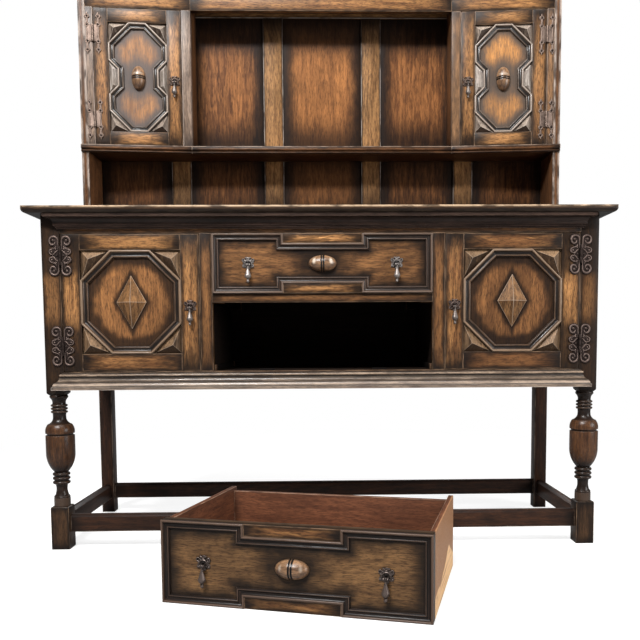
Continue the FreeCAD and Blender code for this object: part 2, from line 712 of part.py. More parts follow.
def upper_door_mouldings(width, height, origin):
    """Waisted double ring, corner pyramids, hipped side blocks and an upright egg boss."""

    def place(x, z, h):
        return origin + V(x, 0, z) + FRONT * h

    cut = width * UPPER_CORNER_SHARE
    waist = width * WAIST_DEPTH_SHARE
    middle = height / 2
    flat = height * WAIST_FLAT_SHARE / 2
    wide = flat + waist
    left_side = [(cut, 0), (0, cut), (0, middle - wide), (waist, middle - flat)]
    left_side += [(x, height - z) for x, z in reversed(left_side)]
    right_side = [(width - x, z) for x, z in reversed(left_side)]
    ring = [place(x, z, 0) for x, z in left_side + right_side]
    strips = mitred_strips(ring[::-1], FRONT, bead_moulding(UPPER_RING_WIDTH, UPPER_RING_HEIGHT), True)
    hips = []
    for x, side in ((0, 1), (width, -1)):
        inner, ridge = x + side * waist, x + side * waist * HIP_RIDGE_SHARE
        corners = [place(x, middle - wide, 0), place(inner, middle - flat, 0)]
        corners += [place(inner, middle + flat, 0), place(x, middle + wide, 0)]
        low, high = place(ridge, middle - flat, PYRAMID_RISE), place(ridge, middle + flat, PYRAMID_RISE)
        hips.append(peaked(corners, [low, low, high, high]))
    egg = moved([half_egg(width * UPPER_EGG_SHARE, True)], 0, place(width / 2, middle, 0))
    return strips + corner_pyramids(width, height, cut, place) + hips + egg


def ring_plate(x, z, outer, inner):
    """Flat ring of a hinge leaf."""
    y = HINGE_STANDOFF - HINGE_LEAF_THICKNESS
    disc = Part.makeCylinder(outer, HINGE_LEAF_THICKNESS, V(x, y, z), V(0, 1, 0))
    if inner:
        disc = disc.cut(Part.makeCylinder(inner, HINGE_LEAF_THICKNESS, V(x, y, z), V(0, 1, 0)))
    return disc


def leaf_plate(x, z):
    """Flat rectangle of a hinge leaf."""
    return box(x, (HINGE_STANDOFF - HINGE_LEAF_THICKNESS, HINGE_STANDOFF), z)


def curled_leaf():
    """Leaf of a lower hinge: a middle flap with two lobes, a curl above them and one below."""
    radius = (LOWER_HINGE_REACH - HINGE_LEAF_NEAR) / 2
    centre = LOWER_HINGE_REACH - radius
    level = LOWER_HINGE_HEIGHT / 2 - radius
    lobe = CURL_LOBE_SHARE * radius
    flap_half = level - CURL_OVERLAP_SHARE * radius
    pieces = []
    for side in (-1, 1):
        curl = ring_plate(centre, side * level, radius, CURL_EYE_SHARE * radius)
        mouth_x = (centre - CURL_MOUTH_NEAR_SHARE * radius, centre + CURL_MOUTH_FAR_SHARE * radius)
        mouth_z = sorted((side * level, side * (level - CURL_MOUTH_SHARE * radius)))
        pieces.append(curl.cut(leaf_plate(mouth_x, mouth_z)))
        tip_x = centre + CURL_TIP_REACH_SHARE * radius
        tip_z = side * (level + CURL_TIP_RISE_SHARE * radius)
        pieces.append(ring_plate(tip_x, tip_z, CURL_TIP_SHARE * radius, 0))
        pieces.append(ring_plate(LOWER_HINGE_REACH - lobe, side * CURL_LOBE_LEVEL_SHARE * radius, lobe, 0))
    return leaf_plate((HINGE_LEAF_NEAR, centre), (-flap_half, flap_half)).fuse(pieces)


def spear_leaf():
    """Leaf of an upper hinge: a narrow bar with round lobes and pointed ends, tied to the barrel."""
    lobe = SPEAR_LOBE_SHARE * UPPER_HINGE_REACH
    centre = UPPER_HINGE_REACH - lobe
    half = UPPER_HINGE_HEIGHT / 2
    point = SPEAR_POINT_SHARE * lobe
    point_half = SPEAR_POINT_HALF_SHARE * lobe
    bar = SPEAR_BAR_SHARE * lobe
    y = HINGE_STANDOFF - HINGE_LEAF_THICKNESS
    flap_half = HINGE_BARREL_LENGTH / 2
    pieces = [leaf_plate((centre - bar, centre + bar), (-half + point, half - point))]
    for side in (-1, 1):
        for level in (SPEAR_INNER_SHARE * half, half - SPEAR_OUTER_SHARE * lobe):
            pieces.append(ring_plate(centre, side * level, lobe, 0))
        tip = [V(centre - point_half, y, side * (half - point)), V(centre, y, side * half)]
        tip.append(V(centre + point_half, y, side * (half - point)))
        pieces.append(extruded(tip, V(0, HINGE_LEAF_THICKNESS, 0)))
    return leaf_plate((HINGE_LEAF_NEAR, centre), (-flap_half, flap_half)).fuse(pieces)


def hinge(leaf):
    """Fixed leaf with its pin, and door leaf with the middle knuckle, about an upright axis at X = Y = 0."""
    half = HINGE_BARREL_LENGTH / 2
    third = HINGE_BARREL_LENGTH / 6
    clear = HINGE_BARREL_RADIUS + METAL_GAP
    tall = 10 * half

    def barrel(low, high, radius):
        return Part.makeCylinder(radius, high - low, V(0, 0, low), UP)

    def notch(low, high):
        return leaf_plate((-clear, clear), (low, high))

    middle = barrel(-third, third, HINGE_BARREL_RADIUS)
    moving = leaf.cut([notch(third, tall), notch(-tall, -third)]).fuse(middle)
    moving = moving.cut(barrel(-half, half, HINGE_PIN_RADIUS + RUNNING_CLEARANCE))
    upper_end = barrel(third + METAL_GAP, half, HINGE_BARREL_RADIUS)
    lower_end = barrel(-half, -third - METAL_GAP, HINGE_BARREL_RADIUS)
    fixed = mirrored(leaf).cut(notch(-third - METAL_GAP, third + METAL_GAP))
    fixed = fixed.cut([notch(half, tall), notch(-tall, -half)])
    fixed = fixed.fuse([upper_end, lower_end, barrel(-half, half, HINGE_PIN_RADIUS)])
    return fixed.Solids[0], moving.Solids[0]


def handle_plate():
    """Lobed plate with a dome and two lugs that hold the pin of the drop, back face in Y = 0."""
    radius = HANDLE_PLATE_RADIUS
    plate = Part.makeCylinder(radius, HANDLE_PLATE_THICKNESS, V(0, 0, 0), FRONT)
    lobes = []
    for i in range(HANDLE_LOBE_COUNT):
        angle = 2 * math.pi * (i + 0.5) / HANDLE_LOBE_COUNT
        at = V(radius * 1.15 * math.cos(angle), 0, radius * 1.15 * math.sin(angle))
        lobes.append(Part.makeCylinder(HANDLE_LOBE_RADIUS, HANDLE_PLATE_THICKNESS, at, FRONT))
    lug_inner = PENDANT_EYE_HALF + METAL_GAP
    lug_outer = lug_inner + LUG_THICKNESS
    lug_z = (-PIVOT_DROP - LUG_RADIUS, -PIVOT_DROP + LUG_RADIUS)
    for x in (-lug_outer, lug_inner):
        lobes.append(Part.makeCylinder(LUG_RADIUS, LUG_THICKNESS, V(x, -PIVOT_STANDOFF, -PIVOT_DROP), RIGHT))
        lobes.append(box((x, x + LUG_THICKNESS), (-PIVOT_STANDOFF, 0), lug_z))
    pin = V(-lug_outer, -PIVOT_STANDOFF, -PIVOT_DROP)
    lobes.append(Part.makeCylinder(HINGE_PIN_RADIUS, 2 * lug_outer, pin, RIGHT))
    dome_z = lug_z[1] + PENDANT_EYE_RADIUS + HANDLE_DOME_RADIUS / 2
    dome_at = V(0, -HANDLE_PLATE_THICKNESS, dome_z)
    lobes.append(Part.makeSphere(HANDLE_DOME_RADIUS, dome_at, FRONT, 0, 90, 360))
    return plate.fuse(lobes).removeSplitter().Solids[0]


def pendant():
    """Drop of a handle, hanging from an eye about the X axis at the origin."""
    neck_low = -PENDANT_NECK_SHARE * PENDANT_LENGTH
    wide = -PENDANT_BELLY_SHARE * PENDANT_LENGTH
    tip = -PENDANT_LENGTH + PENDANT_TIP_RADIUS
    root = tip + PENDANT_ROOT_SHARE * PENDANT_TIP_RADIUS
    waist = PENDANT_WAIST_SHARE * PENDANT_TIP_RADIUS
    slope = PENDANT_SLOPE_SHARE * PENDANT_RADIUS
    turn = PENDANT_TURN_SHARE * PENDANT_RADIUS
    outline = [
        (0, 0),
        (PENDANT_NECK_RADIUS, 0),
        (PENDANT_NECK_RADIUS, neck_low),
        ((slope, (neck_low + wide) / 2), (PENDANT_RADIUS, wide)),
        ((turn, (wide + root) / 2), (waist, root)),
        ((PENDANT_TIP_RADIUS, tip), (0, -PENDANT_LENGTH)),
    ]

    def place(r, z):
        return V(r, 0, z)

    drop = outline_face(outline, place).revolve(V(0, 0, 0), UP, 360)
    eye_at = V(-PENDANT_EYE_HALF, 0, 0)
    eye = Part.makeCylinder(PENDANT_EYE_RADIUS, 2 * PENDANT_EYE_HALF, eye_at, RIGHT)
    bore_radius = HINGE_PIN_RADIUS + RUNNING_CLEARANCE
    bore = Part.makeCylinder(bore_radius, 4 * PENDANT_EYE_HALF, V(-2 * PENDANT_EYE_HALF, 0, 0), RIGHT)
    return drop.fuse(eye).cut(bore).Solids[0]


def door(bay_width, bay_height, stile, rails, thickness, mouldings, leaf, hinge_levels, handle_rise):
    """One door with its hinges and handle.

    The origin is the bay's lower corner on the hinge side, and the front lies in Y = 0.
    """
    top_rail, bottom_rail = rails
    width, height = bay_width - 2 * DOOR_GAP, bay_height - 2 * DOOR_GAP
    frame, panel = door_frame(width, height, stile, top_rail, bottom_rail, thickness)
    panel_origin = V(stile, PANEL_RECESS, bottom_rail)
    trim = mouldings(width - 2 * stile, height - top_rail - bottom_rail, panel_origin)
    corner = V(DOOR_GAP, 0, DOOR_GAP)
    fixed_leaf, door_leaf = hinge(leaf)
    fixed, moving = [], []
    for level in hinge_levels:
        at = V(DOOR_GAP / 2, -HINGE_STANDOFF, level)
        fixed += moved([fixed_leaf], 0, at)
        moving += moved([door_leaf], 0, at)
    plate_at = V(DOOR_GAP + width - stile / 2, 0, handle_rise)
    pivot = plate_at + V(0, -PIVOT_STANDOFF, -PIVOT_DROP)
    return {
        "frame": moved(frame, 0, corner),
        "panel": moved([panel], 0, corner),
        "mouldings": moved(trim, 0, corner),
        "ironwork": moving + moved([handle_plate()], 0, plate_at),
        "pendant": moved([pendant()], 0, pivot),
        "fixed": fixed,
        "axis": V(DOOR_GAP / 2, -HINGE_STANDOFF, 0),
        "pivot": pivot,
    }


def drawer(height):
    """One drawer with stepped mouldings and two drop handles. Middle of the front's foot at the origin."""
    half = DRAWER_HALF
    front = box((-half, half), (0, FRAME_THICKNESS), (0, height))
    side_top = height - DRAWER_SIDE_DROP
    side = box((-half, -half + DRAWER_WALL), (FRAME_THICKNESS, DRAWER_DEPTH), (0, side_top))
    back_y = DRAWER_DEPTH - DRAWER_BACK_INSET
    inner = half - DRAWER_WALL
    floor_top = DRAWER_BOTTOM_RISE + DRAWER_BOTTOM_THICKNESS
    back = box((-inner, inner), (back_y - DRAWER_WALL, back_y), (floor_top, side_top - DRAWER_BACK_DROP))
    bottom = box((-inner, inner), (FRAME_THICKNESS, back_y), (DRAWER_BOTTOM_RISE, floor_top))
    step, drop = half * STEP_BLOCK_SHARE, STEP_BLOCK_HEIGHT
    lower = [(-half, 0), (-step, 0), (-step, drop), (step, drop), (step, 0), (half, 0)]
    upper = [(-x, height - z) for x, z in lower]
    path = [V(x, 0, z) for x, z in lower + upper]
    strips = mitred_strips(path, FRONT, bead_moulding(DRAWER_RING_WIDTH, DRAWER_RING_HEIGHT), True)
    y = (-STEP_BLOCK_PROUD, 0)
    blocks = [box((-step, step), y, (0, drop)), box((-step, step), y, (height - drop, height))]
    egg = moved([half_egg(UPPER_DRAWER_BAY_HEIGHT * DRAWER_EGG_SHARE, False)], 0, V(0, 0, height / 2))
    plates, pendants, pivots = [], [], []
    spread = 2 * half * DRAWER_HANDLE_SHARE
    for side_x in (-spread, spread):
        plate_at = V(side_x, 0, height / 2)
        pivot = plate_at + V(0, -PIVOT_STANDOFF, -PIVOT_DROP)
        plates += moved([handle_plate()], 0, plate_at)
        pendants += moved([pendant()], 0, pivot)
        pivots.append(pivot)
    return {
        "front": [front],
        "box": both_sides([side]) + [back],
        "bottom": [bottom],
        "mouldings": strips + blocks + egg,
        "plates": plates,
        "pendant_left": pendants[:1],
        "pendant_right": pendants[1:],
        "pivots": pivots,
    }


def cant_front(x):
    """Y of the rack's canted front at a left-hand X."""
    return RACK_FRONT + (x + RACK_HALF) * math.tan(CANT)


def cant_block(x_left, x_right, depth, low, high, left_square=False, right_square=False):
    """Block behind the canted front. An end runs straight to the back, or square to the cant."""
    points = [(x_left, cant_front(x_left)), (x_right, cant_front(x_right))]
    for x, square in ((x_right, right_square), (x_left, left_square)):
        if square:
            points.append((x - depth * math.sin(CANT), cant_front(x) + depth * math.cos(CANT)))
        else:
            points.append((x, cant_front(x) + depth / math.cos(CANT)))
    return plan_block(points, low, high)


def rack_front_line(half):
    """Front line of the rack on plan, from left to right, out to a half width."""
    left = [(-half, cant_front(-half)), (-RACK_MIDDLE_HALF, RACK_MIDDLE_FRONT)]
    return left + [(-x, y) for x, y in reversed(left)]


def nosing_section():
    """Section of the strip on the shelf's front edge: a flat top edge over two beads."""
    out, tall = NOSING_PROJECTION, RACK_SHELF_THICKNESS
    return [
        (0, 0),
        (0.45 * out, 0),
        ((0.75 * out, 0.14 * tall), (0.45 * out, 0.28 * tall)),
        (0.45 * out, 0.36 * tall),
        ((0.85 * out, 0.42 * tall), (out, 0.68 * tall)),
        (out, tall),
        (0, tall),
    ]


def cornice_section():
    """Section of the cornice: fillets, a bold cove and a top fillet."""
    step, rise = CORNICE_PROJECTION / 8, CORNICE_HEIGHT / 10
    return [
        (0, 0),
        (step, 0),
        (step, rise),
        (1.8 * step, rise),
        ((2.9 * step, 1.8 * rise), (1.8 * step, 2.6 * rise)),
        (2.4 * step, 3.2 * rise),
        ((3.6 * step, 6.2 * rise), (6.6 * step, 7.6 * rise)),
        (8 * step, 7.6 * rise),
        (8 * step, 10 * rise),
        (0, 10 * rise),
    ]


def rack():
    """Fixed pieces of the plate rack, by node."""
    z_low, z_high = WORKTOP_HEIGHT, RACK_TOP_UNDERSIDE
    side_points = [(-RACK_HALF, cant_front(-RACK_HALF)), (-RACK_INNER_HALF, cant_front(-RACK_INNER_HALF))]
    side_points += [(-RACK_INNER_HALF, CASE_DEPTH), (-RACK_HALF, CASE_DEPTH)]
    side = plan_block(side_points, z_low, z_high)
    shelf_low = RACK_SHELF_TOP - RACK_SHELF_THICKNESS
    shelf_points = [(-RACK_INNER_HALF, RACK_BACK_FACE)] + rack_front_line(RACK_INNER_HALF)
    shelf_points.append((RACK_INNER_HALF, RACK_BACK_FACE))
    shelf = plan_block(shelf_points, shelf_low, RACK_SHELF_TOP)
    line = [V(x, y, shelf_low) for x, y in reversed(rack_front_line(RACK_HALF))]
    nosing = mitred_strips(line, UP, nosing_section(), False)
    bay = (RACK_SHELF_TOP, RACK_BAY_TOP)
    outer_end = -RACK_INNER_HALF + RACK_OUTER_STILE
    inner_end = -RACK_MIDDLE_HALF - RACK_INNER_STILE
    depth = RACK_STILE_THICKNESS
    stiles = [
        cant_block(-RACK_INNER_HALF, outer_end, depth, *bay, right_square=True),
        cant_block(inner_end, -RACK_MIDDLE_HALF, depth, *bay, left_square=True),
    ]
    partition_x = (-RACK_MIDDLE_HALF - RACK_PARTITION_THICKNESS, -RACK_MIDDLE_HALF)
    board = box(partition_x, (RACK_MIDDLE_FRONT + depth / 2, RACK_BACK_FACE), (RACK_SHELF_TOP, z_high))
    frieze = cant_block(-RACK_INNER_HALF, -RACK_MIDDLE_HALF, depth, RACK_BAY_TOP, z_high)
    partition = board.cut([stiles[1], frieze]).Solids[0]
    middle_y = (RACK_MIDDLE_FRONT, RACK_MIDDLE_FRONT + depth)
    middle_frieze = box((-RACK_MIDDLE_HALF, RACK_MIDDLE_HALF), middle_y, (RACK_BAY_TOP, z_high))
    outline = [(-RACK_HALF, CASE_DEPTH)] + rack_front_line(RACK_HALF) + [(RACK_HALF, CASE_DEPTH)]
    top = plan_block(outline, z_high, RACK_TOP)
    edge = [V(x, y, RACK_TOP - CORNICE_HEIGHT) for x, y in reversed(outline)]
    back_y = (RACK_BACK_FACE, CASE_DEPTH)
    x = (-RACK_INNER_HALF, RACK_INNER_HALF)
    span = (z_low + RACK_BACK_RAIL, z_high - RACK_BACK_RAIL)
    rails = [box(x, back_y, (z_low, span[0])), box(x, back_y, (span[1], z_high))]
    muntins, panels = [], []
    panel_y = RACK_BACK_FACE + (RACK_BACK_THICKNESS - PANEL_THICKNESS) / 2
    panel_y = (panel_y, panel_y + PANEL_THICKNESS)
    edges = [RACK_HALF * INNER_MUNTIN_SHARE, RACK_HALF * OUTER_MUNTIN_SHARE, RACK_INNER_HALF]
    for i in range(2):
        muntins.append(box((-edges[i] - MUNTIN_WIDTH, -edges[i]), back_y, span))
        panels.append(box((-edges[i + 1], -edges[i] - MUNTIN_WIDTH), panel_y, span))
    centre_panel = box((-edges[0], edges[0]), panel_y, span)
    return {
        "rack_sides": both_sides([side]),
        "rack_shelf": [shelf] + nosing,
        "rack_stiles": both_sides(stiles),
        "rack_partitions": both_sides([partition]),
        "rack_frieze": both_sides([frieze]) + [middle_frieze],
        "rack_top": [top],
        "cornice": mitred_strips(edge, UP, cornice_section(), False),
        "rack_back_frame": rails + both_sides(muntins),
        "rack_back_panels": [centre_panel] + both_sides(panels),
    }


def door_stops():
    """Strips that the closed doors meet, behind the centre stiles and the rack's inner stiles."""
    x = (-PARTITION_OUTER - (STILE_OUTER - PARTITION_OUTER) - DOOR_STOP_LAP, -PARTITION_OUTER)
    lower = box(x, (FRAME_THICKNESS, FRAME_THICKNESS + DOOR_STOP_DEPTH), (BAY_BOTTOM, BAY_TOP))
    inner_end = -RACK_MIDDLE_HALF - RACK_INNER_STILE
    partition_outer = -RACK_MIDDLE_HALF - RACK_PARTITION_THICKNESS
    span = (RACK_SHELF_TOP, RACK_BAY_TOP)
    ends = (inner_end - DOOR_STOP_LAP, partition_outer)
    whole = cant_block(*ends, RACK_STILE_THICKNESS + DOOR_STOP_DEPTH, *span)
    upper = whole.cut(cant_block(*ends, RACK_STILE_THICKNESS, *span)).Solids[0]
    return both_sides([lower, upper])


def lower_door():
    """Left lower door, with its fixed leaves, in its place."""
    bay_width, bay_height = POST_INNER - STILE_OUTER, BAY_TOP - BAY_BOTTOM
    reach = LOWER_HINGE_HEIGHT / 2
    levels = (LOWER_HINGE_RISE + reach, bay_height - LOWER_HINGE_INSET - reach)
    rails = (LOWER_DOOR_TOP_RAIL, LOWER_DOOR_BOTTOM_RAIL)
    made = door(bay_width, bay_height, LOWER_DOOR_STILE, rails, DOOR_THICKNESS, lower_door_mouldings,
                curled_leaf(), levels, bay_height * LOWER_DOOR_HANDLE_SHARE)
    return made, 0.0, V(-POST_INNER, 0, BAY_BOTTOM)


def upper_door():
    """Left upper door, canted with the rack's front, with its fixed leaves."""
    outer_x = -RACK_INNER_HALF + RACK_OUTER_STILE
    inner_x = -RACK_MIDDLE_HALF - RACK_INNER_STILE
    bay_width = (inner_x - outer_x) / math.cos(CANT)
    reach = UPPER_HINGE_HEIGHT / 2
    levels = (UPPER_HINGE_INSET + reach, RACK_DOOR_BAY_HEIGHT - UPPER_HINGE_INSET - reach)
    rails = (UPPER_DOOR_RAIL, UPPER_DOOR_RAIL)
    handle_rise = RACK_DOOR_BAY_HEIGHT * UPPER_DOOR_HANDLE_SHARE
    made = door(bay_width, RACK_DOOR_BAY_HEIGHT, UPPER_DOOR_STILE, rails, RACK_DOOR_THICKNESS,
                upper_door_mouldings, spear_leaf(), levels, handle_rise)
    return made, math.degrees(CANT), V(outer_x, cant_front(outer_x), RACK_SHELF_TOP)


def turned_point(point, turn, to):
    """A point carried along with pieces that are turned about Z and then moved."""
    return FreeCAD.Rotation(UP, turn).multVec(point) + to


def build():
    """All nodes as lists of solids, and the joint centres by name."""
    nodes, centres = {}, {}
    nodes["front_leg_left"] = [front_leg()]
    nodes["front_leg_right"] = [mirrored(front_leg())]
    rear_leg = box((-CASE_HALF, -REAR_INNER), (REAR_LEG_FRONT, CASE_DEPTH), (0, CASE_TOP))
    nodes["rear_legs"] = both_sides([rear_leg])
    nodes["stretchers"] = stretchers()
    nodes["face_frame"] = face_frame()
    crown_z = CASE_TOP - CROWN_HEIGHT
    nodes["crown_moulding"] = [returned_moulding(crown_section(), POST_INNER, crown_z)]
    nodes["base_moulding"] = [returned_moulding(base_section(), POST_INNER, CASE_UNDERSIDE)]
    nodes["side_rails"], nodes["side_panels"] = case_sides()
    nodes["case_bottom"] = case_bottom()
    nodes["case_back"] = case_back()
    nodes["partitions"], nodes["cupboard_shelves"], nodes["drawer_runners"] = case_inside()
    nodes["door_stops"] = door_stops()
    nodes["worktop"] = [worktop()]
    nodes.update(rack())
    fixed_leaves = []
    for level, maker in (("lower", lower_door), ("upper", upper_door)):
        made, turn, to = maker()
        for key in ("frame", "panel", "mouldings", "ironwork", "pendant"):
            left = moved(made[key], turn, to)
            nodes[f"{level}_left_door_{key}"] = left
            nodes[f"{level}_right_door_{key}"] = [mirrored(s) for s in left]
        fixed_leaves += both_sides(moved(made["fixed"], turn, to))
        for key in ("axis", "pivot"):
            point = turned_point(made[key], turn, to)
            centres[f"{level}_left_door_{key}"] = point
            centres[f"{level}_right_door_{key}"] = V(-point.x, point.y, point.z)
    nodes["hinge_fixed_leaves"] = fixed_leaves
    upper_height = UPPER_DRAWER_BAY_HEIGHT - DRAWER_GAP - DRAWER_RUN_GAP
    lower_height = DRAWER_RAIL_UNDERSIDE - BAY_BOTTOM - DRAWER_GAP - DRAWER_RUN_GAP
    turn = math.radians(FLOOR_DRAWER_TURN)
    floor_y = -FLOOR_DRAWER_STANDOFF - DRAWER_HALF * math.sin(turn) - DRAWER_DEPTH * math.cos(turn)
    places = {
        "top_drawer": (upper_height, 0.0, V(0, 0, UPPER_DRAWER_FLOOR + DRAWER_RUN_GAP)),
        "lower_drawer": (lower_height, -FLOOR_DRAWER_TURN, V(FLOOR_DRAWER_OFFSET, floor_y, 0)),
    }
    for name, (height, angle, to) in places.items():
        made = drawer(height)
        for key in ("front", "box", "bottom", "mouldings", "plates", "pendant_left", "pendant_right"):
            nodes[f"{name}_{key}"] = moved(made[key], angle, to)
        for side, pivot in zip(("left", "right"), made["pivots"]):
            centres[f"{name}_{side}_pivot"] = turned_point(pivot, angle, to)
    return nodes, centres


def main():
    """Write one file for each node, with the origin under the middle of the whole."""
    nodes, centres = build()
    everything = Part.makeCompound([s for solids in nodes.values() for s in solids])
    limits = everything.optimalBoundingBox(False, False)
    shift = V(-limits.Center.x, -limits.Center.y, -limits.ZMin)
    os.makedirs("parts", exist_ok=True)
    for name, solids in nodes.items():
        shape = Part.makeCompound(solids) if len(solids) > 1 else solids[0].copy()
        shape.translate(shift)
        if not shape.isValid():
            print("not valid:", name)
        shape.exportStep(f"parts/{name}.step")
    size = (limits.XLength, limits.YLength, limits.ZLength)
    print("nodes", len(nodes), "size", [round(length, 3) for length in size])
    print("shift", [round(c, 4) for c in shift])
    for name, point in centres.items():
        print("centre", name, [round(c, 4) for c in point + shift])
    print("cant", round(math.degrees(CANT), 5))


main()
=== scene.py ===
import json
import logging
import math
import random
from dataclasses import dataclass
from enum import Enum
from functools import partial
from typing import Callable, Optional, Sequence

import bmesh
import bpy
import numpy as np
from mathutils import Matrix, Vector, noise


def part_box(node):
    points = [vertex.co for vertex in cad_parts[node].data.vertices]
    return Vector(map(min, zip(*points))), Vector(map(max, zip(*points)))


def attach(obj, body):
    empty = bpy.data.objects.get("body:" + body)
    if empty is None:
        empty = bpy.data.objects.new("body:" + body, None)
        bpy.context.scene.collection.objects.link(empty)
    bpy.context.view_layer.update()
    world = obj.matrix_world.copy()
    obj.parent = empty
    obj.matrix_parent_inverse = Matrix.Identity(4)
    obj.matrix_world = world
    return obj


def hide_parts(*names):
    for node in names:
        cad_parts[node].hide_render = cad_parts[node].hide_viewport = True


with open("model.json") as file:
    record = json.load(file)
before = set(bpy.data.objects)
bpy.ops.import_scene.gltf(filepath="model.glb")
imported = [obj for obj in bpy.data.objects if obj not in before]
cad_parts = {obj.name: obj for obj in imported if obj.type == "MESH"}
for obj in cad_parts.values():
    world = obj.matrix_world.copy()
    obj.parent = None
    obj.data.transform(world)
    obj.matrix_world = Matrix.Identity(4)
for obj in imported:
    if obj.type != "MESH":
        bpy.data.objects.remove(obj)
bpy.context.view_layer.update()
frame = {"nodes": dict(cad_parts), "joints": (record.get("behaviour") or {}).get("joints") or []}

LOG = logging.getLogger("dresser")
MM = 0.001
UP = Vector((0, 0, 1))
FRONT = Vector((0, -1, 0))
FULL_TURN = 2 * math.pi
TINY = 1e-7
SQUARE = ((-1, -1), (1, -1), (1, 1), (-1, 1))
CASE_BODY = "dresser"

Array = np.ndarray
Mesh = bmesh.types.BMesh
Triple = tuple[float, float, float]
Span = tuple[float, float]
Path = Sequence[Span]
Faces = list[tuple[int, ...]]
Solid = tuple[Array, Faces]
Piece = bpy.types.Object
Socket = bpy.types.NodeSocket
ShadeRule = Callable[[Array], Array]
Place = Callable[[float, float, float], Vector]


def smooth(low: float, high: float, value: Array) -> Array:
    """Soft step from 0 at low to 1 at high."""
    t = np.clip((value - low) / (high - low), 0.0, 1.0)
    return t * t * (3 - 2 * t)


def lifted(floor: float, step: Array) -> Array:
    """A step from 0 to 1, squeezed so that it starts at floor."""
    return floor + (1 - floor) * step


def bell(value: Array, at: float, width: float) -> Array:
    """1 at a place, falling off softly over a width on both sides."""
    return np.exp(-(((value - at) / width) ** 2))


def about(tone: float, give: float = 0.05) -> Span:
    """Range of tones about one tone."""
    return tone - give, tone + give


def metres(path: Path) -> list[Span]:
    """An outline drawn in millimetres, in metres."""
    return [(a * MM, b * MM) for a, b in path]


def quads(rings: int, count: int, start: int = 0, ends_meet: bool = False) -> Faces:
    """Four-cornered faces between rings of points.

    Args:
        rings: number of rings.
        count: points in each ring.
        start: number of the first point.
        ends_meet: whether the last ring is joined to the first.

    Returns:
        Corner numbers of the faces.
    """
    faces = []
    for ring in range(rings if ends_meet else rings - 1):
        low, high = start + ring * count, start + (ring + 1) % rings * count
        faces += [(low + i, high + i, high + (i + 1) % count, low + (i + 1) % count) for i in range(count)]
    return faces


class Grain(Enum):
    """Which way the grain of a board runs."""

    LONGEST = "longest"
    UPRIGHT = "upright"


class Level(Enum):
    """Where a door hangs: in the base or in the plate rack."""

    LOWER = "lower"
    UPPER = "upper"


class Side(Enum):
    """Left or right half of the dresser, seen from the front."""

    LEFT = -1
    RIGHT = 1

    @property
    def word(self) -> str:
        """The side's name as it stands in piece names."""
        return self.name.lower()


@dataclass(frozen=True)
class Speckle:
    """A noise: turns per metre each way, from where to where it counts, octaves and their roughness."""

    stretch: Triple
    band: Span = (0.0, 1.0)
    detail: float = 2.0
    rough: float = 0.5


